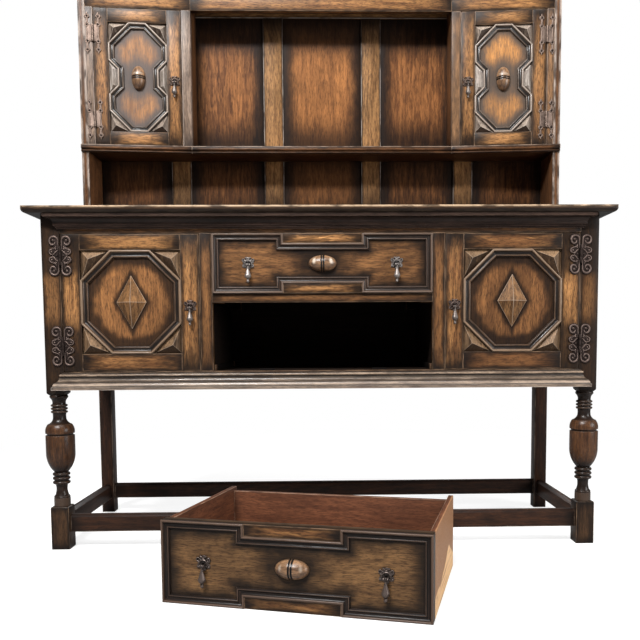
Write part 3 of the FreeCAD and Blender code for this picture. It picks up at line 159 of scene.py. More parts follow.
class Graph:
    """The nodes of one material or of the surrounding light, made one after another."""

    MIX_FACTOR, MIX_FIRST, MIX_SECOND, MIX_RESULT = 0, 6, 7, 2

    def __init__(self, owner: bpy.types.Material | bpy.types.World) -> None:
        """Clear the nodes of a new material or world.

        Args:
            owner: the material or world.
        """
        owner.use_nodes = True
        self.tree = owner.node_tree
        self.tree.nodes.clear()

    def feed(self, socket: Socket, value: object) -> None:
        """Link another socket to this one, or set its constant.

        Args:
            socket: the input to feed.
            value: a socket, number, vector or colour.
        """
        if isinstance(value, bpy.types.NodeSocket):
            self.tree.links.new(value, socket)
        elif isinstance(value, tuple) and socket.type == "RGBA":
            socket.default_value = (*value, 1.0)
        else:
            socket.default_value = value

    def node(self, kind: str, *values: object, **settings: object) -> bpy.types.Node:
        """Add a node, set its properties and feed its first inputs.

        Args:
            kind: Blender's name of the node type.
            *values: what its inputs get, in their order.
            **settings: properties of the node.

        Returns:
            The new node.
        """
        made = self.tree.nodes.new(kind)
        for key, value in settings.items():
            setattr(made, key, value)
        for socket, value in zip(made.inputs, values):
            self.feed(socket, value)
        return made

    def math(self, operation: str, first: object, second: object = 0.0, clamp: bool = False) -> Socket:
        """One step of arithmetic with two numbers or sockets."""
        return self.node("ShaderNodeMath", first, second, operation=operation, use_clamp=clamp).outputs[0]

    def plus(self, first: object, second: object, clamp: bool = False) -> Socket:
        """Sum of two numbers or sockets."""
        return self.math("ADD", first, second, clamp)

    def times(self, first: object, second: object) -> Socket:
        """Product of two numbers or sockets."""
        return self.math("MULTIPLY", first, second)

    def vector(self, operation: str, first: object, second: object) -> Socket:
        """One step of vector arithmetic."""
        return self.node("ShaderNodeVectorMath", first, second, operation=operation).outputs[0]

    def ease(self, value: object, low: float, high: float, start: float = 0.0, end: float = 1.0) -> Socket:
        """Soft step of a value, from start at low to end at high."""
        values = (value, low, high, start, end)
        return self.node("ShaderNodeMapRange", *values, interpolation_type="SMOOTHSTEP").outputs[0]

    def mix(self, factor: object, first: object, second: object) -> Socket:
        """Mix two colours.

        Args:
            factor: how much of the second.
            first: a colour or a socket.
            second: a colour or a socket.

        Returns:
            The mixed colour.
        """
        made = self.node("ShaderNodeMix", data_type="RGBA")
        self.feed(made.inputs[self.MIX_FACTOR], factor)
        self.feed(made.inputs[self.MIX_FIRST], first)
        self.feed(made.inputs[self.MIX_SECOND], second)
        return made.outputs[self.MIX_RESULT]

    def fill(self, made: bpy.types.Node, **sockets: object) -> bpy.types.bpy_prop_collection:
        """Feed inputs of a node by their names.

        Args:
            made: the node.
            **sockets: what the inputs get, with underscores for the spaces in their names.

        Returns:
            The node's outputs.
        """
        for name, value in sockets.items():
            self.feed(made.inputs[name.replace("_", " ")], value)
        return made.outputs

    def noise(self, place: object, speckle: Speckle) -> Socket:
        """Noise about 0.5, stretched differently along each way."""
        made = self.node("ShaderNodeTexNoise", self.vector("MULTIPLY", place, speckle.stretch))
        return self.fill(made, Scale=1.0, Detail=speckle.detail, Roughness=speckle.rough)["Fac"]

    def mark(self, name: str) -> Socket:
        """A number that each point of the mesh carries."""
        return self.node("ShaderNodeAttribute", attribute_name=name).outputs["Fac"]

    def spot(self, name: str) -> Socket:
        """A vector that each point of the mesh carries."""
        return self.node("ShaderNodeAttribute", attribute_name=name).outputs["Vector"]

    def bump(self, height: object, strength: float, distance: float) -> Socket:
        """A normal bumped by a relief, to a depth in metres."""
        made = self.node("ShaderNodeBump")
        return self.fill(made, Strength=strength, Distance=distance, Height=height)["Normal"]

    def surface(self, **sockets: object) -> None:
        """Close a material with one surface shader that has these inputs."""
        shader = self.fill(self.node("ShaderNodeBsdfPrincipled"), **sockets)
        self.node("ShaderNodeOutputMaterial", shader[0])


@dataclass(frozen=True)
class Finish:
    """A surface that becomes a material once; each kind lays its own nodes."""

    name: str

    def material(self) -> bpy.types.Material:
        """The finish as a material.

        Returns:
            The material, new or already made.
        """
        full = f"{self.name}_finish"
        found = bpy.data.materials.get(full)
        if found is None:
            found = bpy.data.materials.new(full)
            self._lay(Graph(found))
        return found

    def _lay(self, g: Graph) -> None:
        """Lay the nodes of this kind of finish."""
        raise NotImplementedError


GOLD: Triple = (0.5, 0.242, 0.089)
UMBER: Triple = (0.17, 0.074, 0.029)
PITCH: Triple = (0.0075, 0.006, 0.0055)
# Near black that paints the shade inside the case and along the runners.
SHADE_BLACK: Triple = (0.006, 0.0045, 0.004)

# Noises in the wood: along the grain, across it and through the board.
SWAY = Speckle((5.0, 11.0, 11.0))
BROAD_BANDS = Speckle((8.0, 95.0, 95.0), (0.32, 0.68), 4.0, 0.68)
FINE_LINES = Speckle((58.0, 400.0, 400.0), (0.45, 0.62), 4.0, 0.7)
PORES = Speckle((45.0, 950.0, 950.0), (0.56, 0.7), 1.0)
FIGURE_HILLS = Speckle((1.5, 9.0, 9.0), detail=0.0)
PATCHES = Speckle((7.0, 9.0, 9.0), (0.35, 0.62))
RAYS = Speckle((26.0, 95.0, 60.0), (0.56, 0.64), 1.0)
RUBS = Speckle((22.0, 60.0, 60.0), (0.36, 0.62), 3.0)
STAIN_CLOUDS = Speckle((30.0, 45.0, 45.0))
SWAY_REACH = 0.016
FIGURE_LINES = 120.0
# Noises in cast metal.
PATINA = Speckle((90.0, 90.0, 90.0), (0.25, 0.75), 3.0)
PITS = Speckle((650.0, 650.0, 650.0), (0.55, 0.7))


@dataclass(frozen=True)
class Stain:
    """How far dark stain runs in from a board's long edges and from its ends, and how dark it gets."""

    edge: float
    end: float
    depth: float


@dataclass(frozen=True)
class OakFinish(Finish):
    """Stained and waxed oak: colours, the stain at its edges, its figure and its wear, with painted shade in
    hollows and painted highlights on ridges and arrises.
    """

    light: Triple
    mid: Triple
    stain: Stain
    dark: Triple = PITCH
    lines: float = 0.55
    figure: float = 0.35
    worn: float = 0.5
    # How strongly hollows take painted shade and ridges a painted highlight.
    hollow: float = 0.0
    gloss: float = 0.36
    shine: float = 0.16
    # Pale colour of worn arrises and ridges, which also paints highlights along them.
    rubbed: Triple = (0.4, 0.25, 0.15)
    arris: float = 0.0022
    bare: Optional[Triple] = None

    def _lay(self, g: Graph) -> None:
        """Lay grain, pores, stain and wear over each other.

        Args:
            g: the material's nodes.
        """
        grain, tone = g.spot("grain"), g.mark("tone")
        sway = g.times(g.plus(g.noise(grain, SWAY), -0.5), SWAY_REACH)
        line = g.vector("ADD", grain, g.node("ShaderNodeCombineXYZ", 0.0, sway).outputs[0])
        broad, fine, pores = (g.noise(line, kind) for kind in (BROAD_BANDS, FINE_LINES, PORES))
        patch = g.noise(grain, PATCHES)
        wave = g.math("SINE", g.times(g.noise(grain, FIGURE_HILLS), FIGURE_LINES))
        body = g.plus(g.ease(broad, *BROAD_BANDS.band, 0.08, 0.8), g.times(wave, 0.3 * self.figure))
        body = g.plus(body, g.times(g.plus(tone, -0.5), 0.75), clamp=True)
        colour = g.mix(body, self.mid, self.light)
        colour = g.mix(g.ease(fine, *FINE_LINES.band, 0.0, self.lines), colour, self.dark)
        colour = g.mix(g.ease(pores, *PORES.band, 0.0, 0.4 * self.lines), colour, self.dark)
        colour = g.mix(g.ease(patch, *PATCHES.band, 0.28, 0.0), colour, self.dark)
        slant = g.vector("ADD", grain, g.vector("MULTIPLY", line, (0.0, 0.6, 0.0)))
        rays = g.times(g.ease(g.noise(slant, RAYS), *RAYS.band), g.mark("fleck"))
        colour = g.mix(rays, colour, tuple(min(1.0, 1.35 * c) for c in self.light))
        colour = self._wear(g, colour, grain)
        if self.bare:
            plain = tuple(0.77 * a + 0.23 * b for a, b in zip(self.light, self.bare))
            plain = g.mix(g.ease(fine, 0.45, 0.65, 0.0, 0.45), plain, self.light)
            colour = g.mix(g.ease(tone, 0.9, 1.02), colour, plain)
            colour = g.mix(g.ease(tone, 1.2, 1.4), colour, g.mix(g.ease(broad, 0.2, 0.55), plain, self.bare))
        rough = g.plus(g.times(fine, 0.16), g.times(patch, 0.14))
        height = g.plus(g.times(fine, -0.7), g.times(pores, -0.6))
        g.surface(
            Base_Color=colour,
            Roughness=g.plus(rough, self.gloss - 0.15),
            Specular_IOR_Level=self.shine,
            Normal=g.bump(height, 0.35, 0.0006),
        )

    def _wear(self, g: Graph, colour: Socket, grain: Socket) -> Socket:
        """Darken edges with stain, and with painted shade where the shade mark asks for it; darken hollows
        with painted shade; rub ridges and arrises pale, partly wear and partly painted highlight.

        Args:
            g: the material's nodes.
            colour: the clean wood.
            grain: the place in the wood.

        Returns:
            The worn colour.
        """
        # The shade mark carries the stain round mouldings, and also painted shade where a rule puts it.
        shade = g.mark("shade")
        inset = g.vector("SUBTRACT", g.spot("half"), g.vector("ABSOLUTE", g.spot("local"), (0.0, 0.0, 0.0)))
        reach = (1 / self.stain.end, 1 / self.stain.edge, 1 / self.stain.edge)
        near = self._middle(g, g.vector("MULTIPLY", inset, reach))
        near = g.plus(near, g.times(g.plus(g.noise(grain, STAIN_CLOUDS), -0.5), 0.7))
        clear = g.times(g.ease(near, 0.0, 1.0), shade)
        colour = g.mix(g.times(g.math("SUBTRACT", 1.0, clear), self.stain.depth), colour, self.dark)
        # Painted shade in hollows and painted highlights on ridges, from the relief mark.
        if self.hollow:
            relief = g.mark("relief")
            colour = g.mix(g.ease(relief, 0.5, 0.34, 0.0, self.hollow), colour, self.dark)
            colour = g.mix(g.ease(relief, 0.6, 0.84, 0.0, 0.7 * self.hollow), colour, self.rubbed)
        # Rubbed arrises: wear, and a painted highlight along them.
        arris = g.times(g.ease(self._middle(g, inset), 0.2 * self.arris, self.arris, 1.0, 0.0), shade)
        rub = g.ease(g.noise(grain, RUBS), *RUBS.band, 0.15, 1.0)
        return g.mix(g.times(g.times(arris, rub), self.worn), colour, self.rubbed)

    @staticmethod
    def _middle(g: Graph, values: Socket) -> Socket:
        """The middle one of a vector's numbers, which on a board's face is the way to its edge.

        Args:
            g: the material's nodes.
            values: the vector.

        Returns:
            The number.
        """
        x, y, z = g.node("ShaderNodeSeparateXYZ", values).outputs
        higher = g.math("MINIMUM", g.math("MAXIMUM", x, y), z)
        return g.math("MAXIMUM", g.math("MINIMUM", x, y), higher)


@dataclass(frozen=True)
class MetalFinish(Finish):
    """Cast metal with a dark patina in its hollows."""

    bright: Triple
    dark: Triple
    gloss: float = 0.36
    metallic: float = 1.0

    def _lay(self, g: Graph) -> None:
        """Lay patina, rubbed high places and casting marks over each other.

        Args:
            g: the material's nodes.
        """
        grain = g.spot("grain")
        cloud, pits = g.noise(grain, PATINA), g.noise(grain, PITS)
        lift = g.plus(g.mark("relief"), g.times(g.plus(cloud, -0.5), 0.55))
        colour = g.mix(g.ease(lift, *PATINA.band), self.dark, self.bright)
        colour = g.mix(g.ease(pits, *PITS.band, 0.0, 0.4), colour, self.dark)
        rough = g.plus(g.times(cloud, 0.2), g.times(pits, 0.12))
        g.surface(
            Base_Color=colour,
            Metallic=self.metallic,
            Roughness=g.plus(rough, self.gloss - 0.15),
            Normal=g.bump(g.plus(cloud, pits), 0.25, 0.0005),
        )


PANEL_STAIN = Stain(0.004, 0.004, 0.95)
FRONT_STAIN = Stain(0.004, 0.004, 0.97)
STRIP_STAIN = Stain(0.002, 0.01, 0.5)
BOSS_STAIN = Stain(0.002, 0.002, 0.3)
STILE_STAIN = Stain(0.006, 0.05, 0.85)

CASE_OAK = OakFinish("case_oak", GOLD, UMBER, Stain(0.014, 0.085, 0.95), lines=0.66)
FRAME_OAK = OakFinish("frame_oak", (0.29, 0.132, 0.048), (0.12, 0.054, 0.023), Stain(0.013, 0.06, 0.95))
PANEL_OAK = OakFinish(
    "panel_oak", (0.39, 0.173, 0.061), (0.16, 0.07, 0.0275), Stain(0.004, 0.004, 0.9),
    lines=0.6, figure=0.15,
)
# Grey rather than black where stained: a painted sheen over the stain on the left upper door's panel.
UPPER_PANEL_OAK = OakFinish(
    "upper_panel_oak", (0.43, 0.21, 0.09), (0.2, 0.095, 0.046), PANEL_STAIN, (0.085, 0.074, 0.07),
    lines=0.6, figure=0.1, gloss=0.42, shine=0.12,
)
GOLDEN_PANEL_OAK = OakFinish(
    "golden_panel_oak", (0.62, 0.285, 0.09), (0.3, 0.132, 0.044), PANEL_STAIN, (0.066, 0.054, 0.046),
    lines=0.6, figure=0.1, gloss=0.42, shine=0.12,
)
DRAWER_FACE = OakFinish(
    "drawer_face_oak", (0.3, 0.14, 0.053), (0.115, 0.053, 0.023), FRONT_STAIN, lines=0.6, figure=0.5
)
FLOOR_DRAWER_FACE = OakFinish(
    "floor_drawer_face_oak", (0.275, 0.145, 0.06), (0.12, 0.062, 0.028), FRONT_STAIN,
    lines=0.6, figure=0.5,
)
MOULDING_OAK = OakFinish(
    "moulding_oak", (0.16, 0.092, 0.052), (0.042, 0.025, 0.017), STRIP_STAIN,
    worn=0.4, hollow=0.9, gloss=0.3, shine=0.3, rubbed=(0.28, 0.19, 0.125),
)
# Paler and shinier than the lower rings: painted silvery highlights on the upper doors' mouldings.
UPPER_MOULDING_OAK = OakFinish(
    "upper_moulding_oak", (0.2, 0.14, 0.1), (0.05, 0.035, 0.027), STRIP_STAIN,
    worn=0.4, hollow=0.9, gloss=0.3, shine=0.45, rubbed=(0.42, 0.34, 0.28),
)
DRAWER_MOULDING_OAK = OakFinish(
    "drawer_moulding_oak", (0.085, 0.05, 0.034), (0.025, 0.0155, 0.0115), STRIP_STAIN,
    worn=0.5, hollow=0.95, gloss=0.32, shine=0.25, rubbed=(0.165, 0.112, 0.083),
)
FLOOR_MOULDING_OAK = OakFinish(
    "floor_moulding_oak", (0.042, 0.022, 0.014), (0.013, 0.008, 0.006), STRIP_STAIN,
    worn=0.5, hollow=0.95, gloss=0.34, shine=0.22, rubbed=(0.13, 0.082, 0.058),
)
# Pale and shiny: the base rules paint highlights on its rounds and shade in its hollows.
BASE_OAK = OakFinish(
    "base_oak", (0.42, 0.305, 0.215), (0.095, 0.062, 0.043), Stain(0.002, 0.01, 0.9),
    worn=0.3, hollow=0.97, gloss=0.28, shine=0.45, rubbed=(0.66, 0.55, 0.47),
)
# Nearly black: the moulding's dark oak, darkened further with painted shade under the worktop's overhang.
CROWN_OAK = OakFinish(
    "crown_oak", (0.075, 0.045, 0.034), (0.02, 0.0125, 0.01), Stain(0.002, 0.01, 0.4),
    worn=0.3, hollow=0.9, gloss=0.3, rubbed=(0.17, 0.115, 0.085),
)
BOSS_OAK = OakFinish(
    "boss_oak", (0.29, 0.175, 0.095), (0.06, 0.034, 0.019), BOSS_STAIN,
    worn=0.2, hollow=0.8, gloss=0.42, shine=0.12, rubbed=(0.52, 0.41, 0.31),
)
DIAMOND_OAK = OakFinish(
    "diamond_oak", (0.33, 0.165, 0.066), (0.1, 0.05, 0.022), BOSS_STAIN,
    worn=0.3, hollow=0.8, gloss=0.42, shine=0.12, rubbed=(0.56, 0.44, 0.33),
)
UPPER_BOSS_OAK = OakFinish(
    "upper_boss_oak", (0.41, 0.325, 0.26), (0.055, 0.035, 0.025), BOSS_STAIN,
    worn=0.2, hollow=0.8, gloss=0.4, shine=0.16, rubbed=(0.6, 0.51, 0.43),
)
# Near white: a painted highlight on the faces of the hip blocks.
HIP_HIGHLIGHT_OAK = OakFinish(
    "hip_oak", (0.68, 0.6, 0.53), (0.22, 0.17, 0.135), BOSS_STAIN,
    worn=0.2, hollow=0.8, gloss=0.34, shine=0.35, rubbed=(0.7, 0.62, 0.55),
)
# Its nearly white colour for ridges paints the highlights on the eggs.
EGG_OAK = OakFinish(
    "egg_oak", (0.48, 0.265, 0.135), (0.12, 0.06, 0.031), Stain(0.002, 0.002, 0.7),
    hollow=1.0, gloss=0.33, shine=0.5, rubbed=(0.86, 0.74, 0.6),
)
POST_OAK = OakFinish(
    "post_oak", (0.25, 0.118, 0.045), (0.105, 0.049, 0.021), Stain(0.012, 0.05, 0.95), figure=0.6
)
FOOT_OAK = OakFinish(
    "foot_oak", (0.09, 0.046, 0.022), (0.03, 0.016, 0.009), Stain(0.012, 0.03, 0.9), figure=0.7
)
TURNED_OAK = OakFinish(
    "turned_oak", (0.135, 0.06, 0.026), (0.045, 0.02, 0.011), Stain(0.01, 0.02, 0.93),
    figure=0.4, hollow=0.6, gloss=0.28, shine=0.25, rubbed=(0.11, 0.07, 0.048),
)
UNDERFRAME_OAK = OakFinish(
    "underframe_oak", (0.07, 0.029, 0.0145), (0.024, 0.012, 0.0083), Stain(0.008, 0.05, 0.8),
    figure=0.4, worn=0.7, rubbed=(0.22, 0.155, 0.115), arris=0.004,
)
# Wide, fully rubbed arris: wear along its edges, and a painted highlight on the top edge of the front.
WORKTOP_OAK = OakFinish(
    "worktop_oak", (0.2, 0.1, 0.048), (0.08, 0.042, 0.023), Stain(0.012, 0.06, 0.94),
    worn=1.0, rubbed=(0.56, 0.39, 0.25), arris=0.007,
)
BACK_OAK = OakFinish(
    "back_oak", (0.36, 0.147, 0.048), (0.115, 0.045, 0.0185), Stain(0.05, 0.09, 0.96),
    lines=0.45, figure=0.12, gloss=0.4, shine=0.06,
)
MUNTIN_OAK = OakFinish(
    "muntin_oak", (0.43, 0.225, 0.09), (0.17, 0.083, 0.034), Stain(0.009, 0.05, 0.93),
    worn=0.8, figure=0.5, rubbed=(0.4, 0.35, 0.31), arris=0.0028, shine=0.08,
)
RACK_OAK = OakFinish(
    "rack_oak", (0.24, 0.105, 0.041), (0.09, 0.04, 0.019), Stain(0.012, 0.06, 0.92),
    worn=0.8, rubbed=(0.33, 0.24, 0.18), arris=0.003, shine=0.1,
)
# Wide rubbed arris: the front edges of the rack's sides are made pale, partly wear and partly a painted
# reflection.
SIDE_OAK = OakFinish(
    "side_oak", (0.22, 0.096, 0.04), (0.09, 0.041, 0.02), Stain(0.012, 0.06, 0.9),
    worn=0.75, rubbed=(0.46, 0.37, 0.31), arris=0.009, shine=0.1,
)
# Pale pinkish grey: a painted sheen on the stiles of the left cupboard.
STILE_OAK = OakFinish(
    "stile_oak", (0.35, 0.25, 0.185), (0.15, 0.1, 0.07), STILE_STAIN, (0.04, 0.03, 0.026),
    worn=0.8, rubbed=(0.46, 0.36, 0.3), arris=0.003,
)
RIGHT_STILE_OAK = OakFinish(
    "right_stile_oak", (0.36, 0.19, 0.09), (0.14, 0.074, 0.036), STILE_STAIN, (0.03, 0.022, 0.018),
    worn=0.6, rubbed=(0.38, 0.27, 0.2), arris=0.003,
)
END_PANEL_OAK = OakFinish("end_panel_oak", (0.27, 0.11, 0.04), (0.12, 0.05, 0.021), Stain(0.02, 0.05, 0.85))
# Painted shade: the inside of the case is made near black, as dark as the shade in it.
INSIDE_OAK = OakFinish(
    "inside_oak", (0.022, 0.013, 0.009), (0.011, 0.007, 0.0055), Stain(0.02, 0.05, 0.6), SHADE_BLACK,
    gloss=0.7, shine=0.08, rubbed=(0.03, 0.02, 0.014),
)
# Pale wood that its rule paints with shade except at the runner's ends.
RUNNER_OAK = OakFinish(
    "runner_oak", (0.34, 0.2, 0.12), (0.2, 0.11, 0.065), Stain(0.001, 0.001, 1.0), SHADE_BLACK, gloss=0.6, shine=0.08
)
DRAWER_OAK = OakFinish(
    "drawer_oak", (0.215, 0.08, 0.038), (0.1, 0.037, 0.02), Stain(0.006, 0.03, 0.5), (0.035, 0.016, 0.0105),
    worn=0.8, gloss=0.5, rubbed=(0.4, 0.25, 0.17), bare=(0.95, 0.6, 0.31),
)
HINGE_METAL = MetalFinish("hinge_metal", (0.158, 0.115, 0.098), (0.034, 0.025, 0.022), 0.55)
UPPER_HINGE_METAL = MetalFinish("copper_hinge_metal", (0.19, 0.138, 0.112), (0.02, 0.015, 0.0125), 0.52)
HANDLE_METAL = MetalFinish("handle_metal", (0.24, 0.21, 0.192), (0.02, 0.0165, 0.015), 0.42, 0.6)
DOOR_DROP_METAL = MetalFinish("door_drop_metal", (0.17, 0.142, 0.126), (0.018, 0.0145, 0.013), 0.42, 0.6)
BRONZE = MetalFinish("dark_bronze", (0.12, 0.09, 0.078), (0.018, 0.0135, 0.012), 0.36, 0.6)


@dataclass
class Blank:
    """Points, faces and marks of one board, turned part or casting, before it is joined to others."""

    points: Array
    faces: Faces
    grain: Array
    local: Array
    half: Array
    tone: Array
    shade: Array
    relief: Array
    fleck: Array

    @classmethod
    def plain(cls, points: Array, faces: Faces, grain: Array) -> "Blank":
        """A blank with even marks.

        Args:
            points: where its points are.
            faces: corner numbers of its faces.
            grain: each point's place in the wood or metal.

        Returns:
            The blank.
        """
        count = len(points)
        even = (np.full(count, level) for level in (0.5, 1.0, 0.5, 0.0))
        return cls(points, faces, grain, np.zeros((count, 3)), np.ones((count, 3)), *even)

    @classmethod
    def cast(cls, points: Sequence[Vector], faces: Faces) -> "Blank":
        """A metal blank with even marks."""
        places = np.array(points)
        return cls.plain(places, faces, places.copy())


@dataclass(frozen=True)
class Lie:
    """How a board lies: its middle, along its grain, across it, out of its face, and its half sizes."""

    middle: Vector
    along: Vector
    across: Vector
    out: Vector
    half: Vector = Vector((0, 0, 0)).freeze()

    def place(self, along: float, across: float, out: float) -> Vector:
        """A point of the board, from its middle."""
        return self.middle + self.along * along + self.across * across + self.out * out

    def axes(self) -> Array:
        """The three ways as rows."""
        return np.array([self.along, self.across, self.out])

    def local(self, points: Array) -> Array:
        """Points as distances along, across and out from the middle."""
        return (points - np.array(self.middle)) @ self.axes().T


@dataclass(frozen=True)
class Work:
    """How a board is worked: eased edges, grain, joints between boards and colour marks."""

    ease: float = 0.0012
    grain: Grain = Grain.LONGEST
    cells: float = 0.0
    joints: tuple[float, ...] = ()
    close: bool = False
    shade: Optional[ShadeRule] = None
    tone: Span = (0.35, 0.65)
    fleck: float = 0.0
    crest: float = 0.0
    margin: float = 0.0
    # Painted light and shade: tone added for each point's upward normal, so faces that look up are paler and
    # faces that look down darker.
    facing: float = 0.0
    # Tone added by place: bare wood on a drawer side, painted highlights on the base moulding's rounds.
    raw: Optional[ShadeRule] = None


class Bench:
    """Turns the frame's solids into dressed boards and joins them into pieces."""

    POINTS_PER_METRE = 2e5
    FLAT = math.radians(0.4)
    SHARP = math.radians(28)
    HARD_EDGE = math.radians(24)
    LEFT_TO_RIGHT = Vector((1.0, 0.3, 0.1))
    GRAIN_SHIFT = 9

    @classmethod
    def solids(cls, node: str) -> list[Solid]:
        """The closed solids of a node, one after another.

        Args:
            node: the node's name.

        Returns:
            Points and faces of each solid.
        """
        mesh = frame["nodes"][node].data
        places = np.zeros(len(mesh.vertices) * 3, np.float32)
        mesh.vertices.foreach_get("co", places)
        places = places.reshape(-1, 3).astype(float)
        keys = np.round(places * cls.POINTS_PER_METRE).astype(np.int64)
        _, first, ids = np.unique(keys, axis=0, return_index=True, return_inverse=True)
        ids = ids.ravel()
        found, current, loose = [], [], {}
        for polygon in mesh.polygons:
            corners = tuple(int(ids[i]) for i in polygon.vertices)
            if len(set(corners)) < 3:
                continue
            current.append(corners)
            for start, end in zip(corners, corners[1:] + corners[:1]):
                if loose.get((end, start)):
                    loose[(end, start)] -= 1
                    if not loose[(end, start)]:
                        del loose[(end, start)]
                else:
                    loose[(start, end)] = loose.get((start, end), 0) + 1
            if not loose:
                used = sorted({i for face in current for i in face})
                new = {old: i for i, old in enumerate(used)}
                found.append((places[first[used]], [tuple(new[i] for i in face) for face in current]))
                current = []
        return found

    @staticmethod
    def loose_mesh(points: Sequence, faces: Faces) -> Mesh:
        """Points and faces as an editable mesh.

        Args:
            points: where its points are.
            faces: corner numbers of its faces.

        Returns:
            The editable mesh.
        """
        bm = bmesh.new()
        corners = [bm.verts.new(p) for p in points]
        for face in faces:
            bm.faces.new([corners[i] for i in face])
        return bm

    @classmethod
    def mesh_of(cls, points: Array, faces: Faces) -> Mesh:
        """A solid as an editable mesh with its flat faces whole.

        Args:
            points: the solid's points.
            faces: the solid's faces.

        Returns:
            The editable mesh.
        """
        bm = cls.loose_mesh(points, faces)
        bm.normal_update()
        bmesh.ops.dissolve_limit(bm, angle_limit=cls.FLAT, verts=bm.verts[:], edges=bm.edges[:])
        bmesh.ops.recalc_face_normals(bm, faces=bm.faces[:])
        return bm

    @staticmethod
    def corners(bm: Mesh) -> Faces:
        """Corner numbers of a mesh's faces."""
        bm.verts.index_update()
        return [tuple(v.index for v in f.verts) for f in bm.faces]

    @classmethod
    def lie_of(cls, bm: Mesh, grain: Grain) -> Lie:
        """Find how a board lies.

        Args:
            bm: the board.
            grain: which way its grain runs.

        Returns:
            Its middle, its three ways and its half sizes.
        """
        edge = max(bm.edges, key=lambda e: e.calc_length())
        along = (edge.verts[1].co - edge.verts[0].co).normalized()
        if grain is Grain.UPRIGHT:
            along = UP.copy()
        if along.dot(cls.LEFT_TO_RIGHT) + 3 * max(0.0, abs(along.z) - 0.9) * along.z < 0:
            along.negate()
        faces = [f for f in bm.faces if abs(f.normal.dot(along)) < 0.3]
        face = max(faces or bm.faces[:], key=lambda f: f.calc_area())
        out = (face.normal - along * face.normal.dot(along)).normalized()
        if out.dot(FRONT + 0.5 * UP) < 0:
            out.negate()
        across = out.cross(along)
        axes = np.array([along, across, out])
        spread = np.array([v.co for v in bm.verts]) @ axes.T
        low, high = spread.min(0), spread.max(0)
        return Lie(Vector((low + high) / 2 @ axes), along, across, out, Vector((high - low) / 2))

    @classmethod
    def lie_of_first(cls, node: str, grain: Grain) -> Lie:
        """Find how the first board of a node lies.

        Args:
            node: the node's name.
            grain: which way its grain runs.

        Returns:
            How the board lies.
        """
        bm = cls.mesh_of(*cls.solids(node)[0])
        lie = cls.lie_of(bm, grain)
        bm.free()
        return lie

    @classmethod
    def board(cls, solid: Solid, work: Work, rng: random.Random) -> list[Blank]:
        """Dress one solid as a board, or as several boards joined edge to edge.

        Args:
            solid: points and faces.
            work: how it is worked.
            rng: the piece's own random numbers.

        Returns:
            The dressed boards.
        """
        bm = cls.mesh_of(*solid)
        lie = cls.lie_of(bm, work.grain)
        cuts = [-1.0, *work.joints, 1.0]
        made = []
        for low, high in zip(cuts, cuts[1:]):
            part = bm.copy()
            for share, sign in ((low, -1), (high, 1)):
                if abs(share) < 1:
                    where = lie.place(0, share * lie.half.y, 0)
                    cut = cls._slice(part, where, lie.across * sign, clear_outer=True)
                    edges = [e for e in cut["geom_cut"] if isinstance(e, bmesh.types.BMEdge)]
                    bmesh.ops.contextual_create(part, geom=edges)
            made.append(cls._dress(part, lie if work.close else cls.lie_of(part, work.grain), work, rng))
            part.free()
        bm.free()
        return made

    @staticmethod
    def _slice(bm: Mesh, where: Vector, way: Vector, clear_outer: bool = False) -> dict:
        """Cut a mesh along a plane, and drop what is beyond it if asked."""
        plane = {"plane_co": where, "plane_no": way, "clear_outer": clear_outer}
        return bmesh.ops.bisect_plane(bm, geom=bm.verts[:] + bm.edges[:] + bm.faces[:], **plane)

    @classmethod
    def _dress(cls, bm: Mesh, lie: Lie, work: Work, rng: random.Random) -> Blank:
        """Ease the edges of a board, divide its face and write its marks.

        Args:
            bm: the board.
            lie: how it lies.
            work: how it is worked.
            rng: the piece's own random numbers.

        Returns:
            The dressed board.
        """
        wide = cls._ease(bm, work)
        if work.cells:
            for way, half in ((lie.along, lie.half.x), (lie.across, lie.half.y)):
                steps = max(2, round(2 * half / work.cells))
                for i in range(1, steps):
                    cls._slice(bm, lie.middle + way * (half * (2 * i / steps - 1)), way)
        bm.normal_update()
        bm.verts.ensure_lookup_table()
        faces = cls.corners(bm)
        points = np.array([v.co for v in bm.verts])
        local = lie.local(points)
        relief, lean = cls._relief(bm, lie, work, wide)
        rise = local[:, 2] / max(lie.half.z, 1e-6)
        offset = np.array([rng.uniform(0, cls.GRAIN_SHIFT) for _ in range(3)])
        blank = Blank.plain(points, faces, local + offset)
        blank.local = local
        blank.half = np.tile(np.array(lie.half), (len(points), 1))
        # Painted light and shade by which way each point faces.
        blank.tone = np.full(len(points), rng.uniform(*work.tone)) + work.facing * lean
        blank.relief = np.clip(relief + 0.3 * abs(work.crest) * rise, 0.0, 1.0)
        blank.fleck = np.full(len(points), work.fleck)
        if work.shade:
            blank.shade = work.shade(local)
        if work.raw:
            blank.tone = np.clip(blank.tone + work.raw(local), 0.0, 1.6)
        return blank

    @classmethod
    def _ease(cls, bm: Mesh, work: Work) -> list[bmesh.types.BMFace]:
        """Set margins round the wide faces of a board and ease its sharp edges.

        Args:
            bm: the board.
            work: how it is worked.

        Returns:
            The wide faces, if they have margins.
        """
        bm.normal_update()
        wide = []
        if work.margin:
            wide = [f for f in bm.faces if f.calc_area() > 1.5 * work.margin * f.calc_perimeter()]
            bmesh.ops.inset_individual(bm, faces=wide, thickness=work.margin)
            bm.normal_update()
        sharp = [e for e in bm.edges if len(e.link_faces) == 2 and e.calc_face_angle_signed() > cls.SHARP]
        if work.ease and sharp:
            bmesh.ops.bevel(
                bm, geom=sharp, offset=work.ease, segments=2, profile=0.6, affect="EDGES", clamp_overlap=True
            )
        return wide

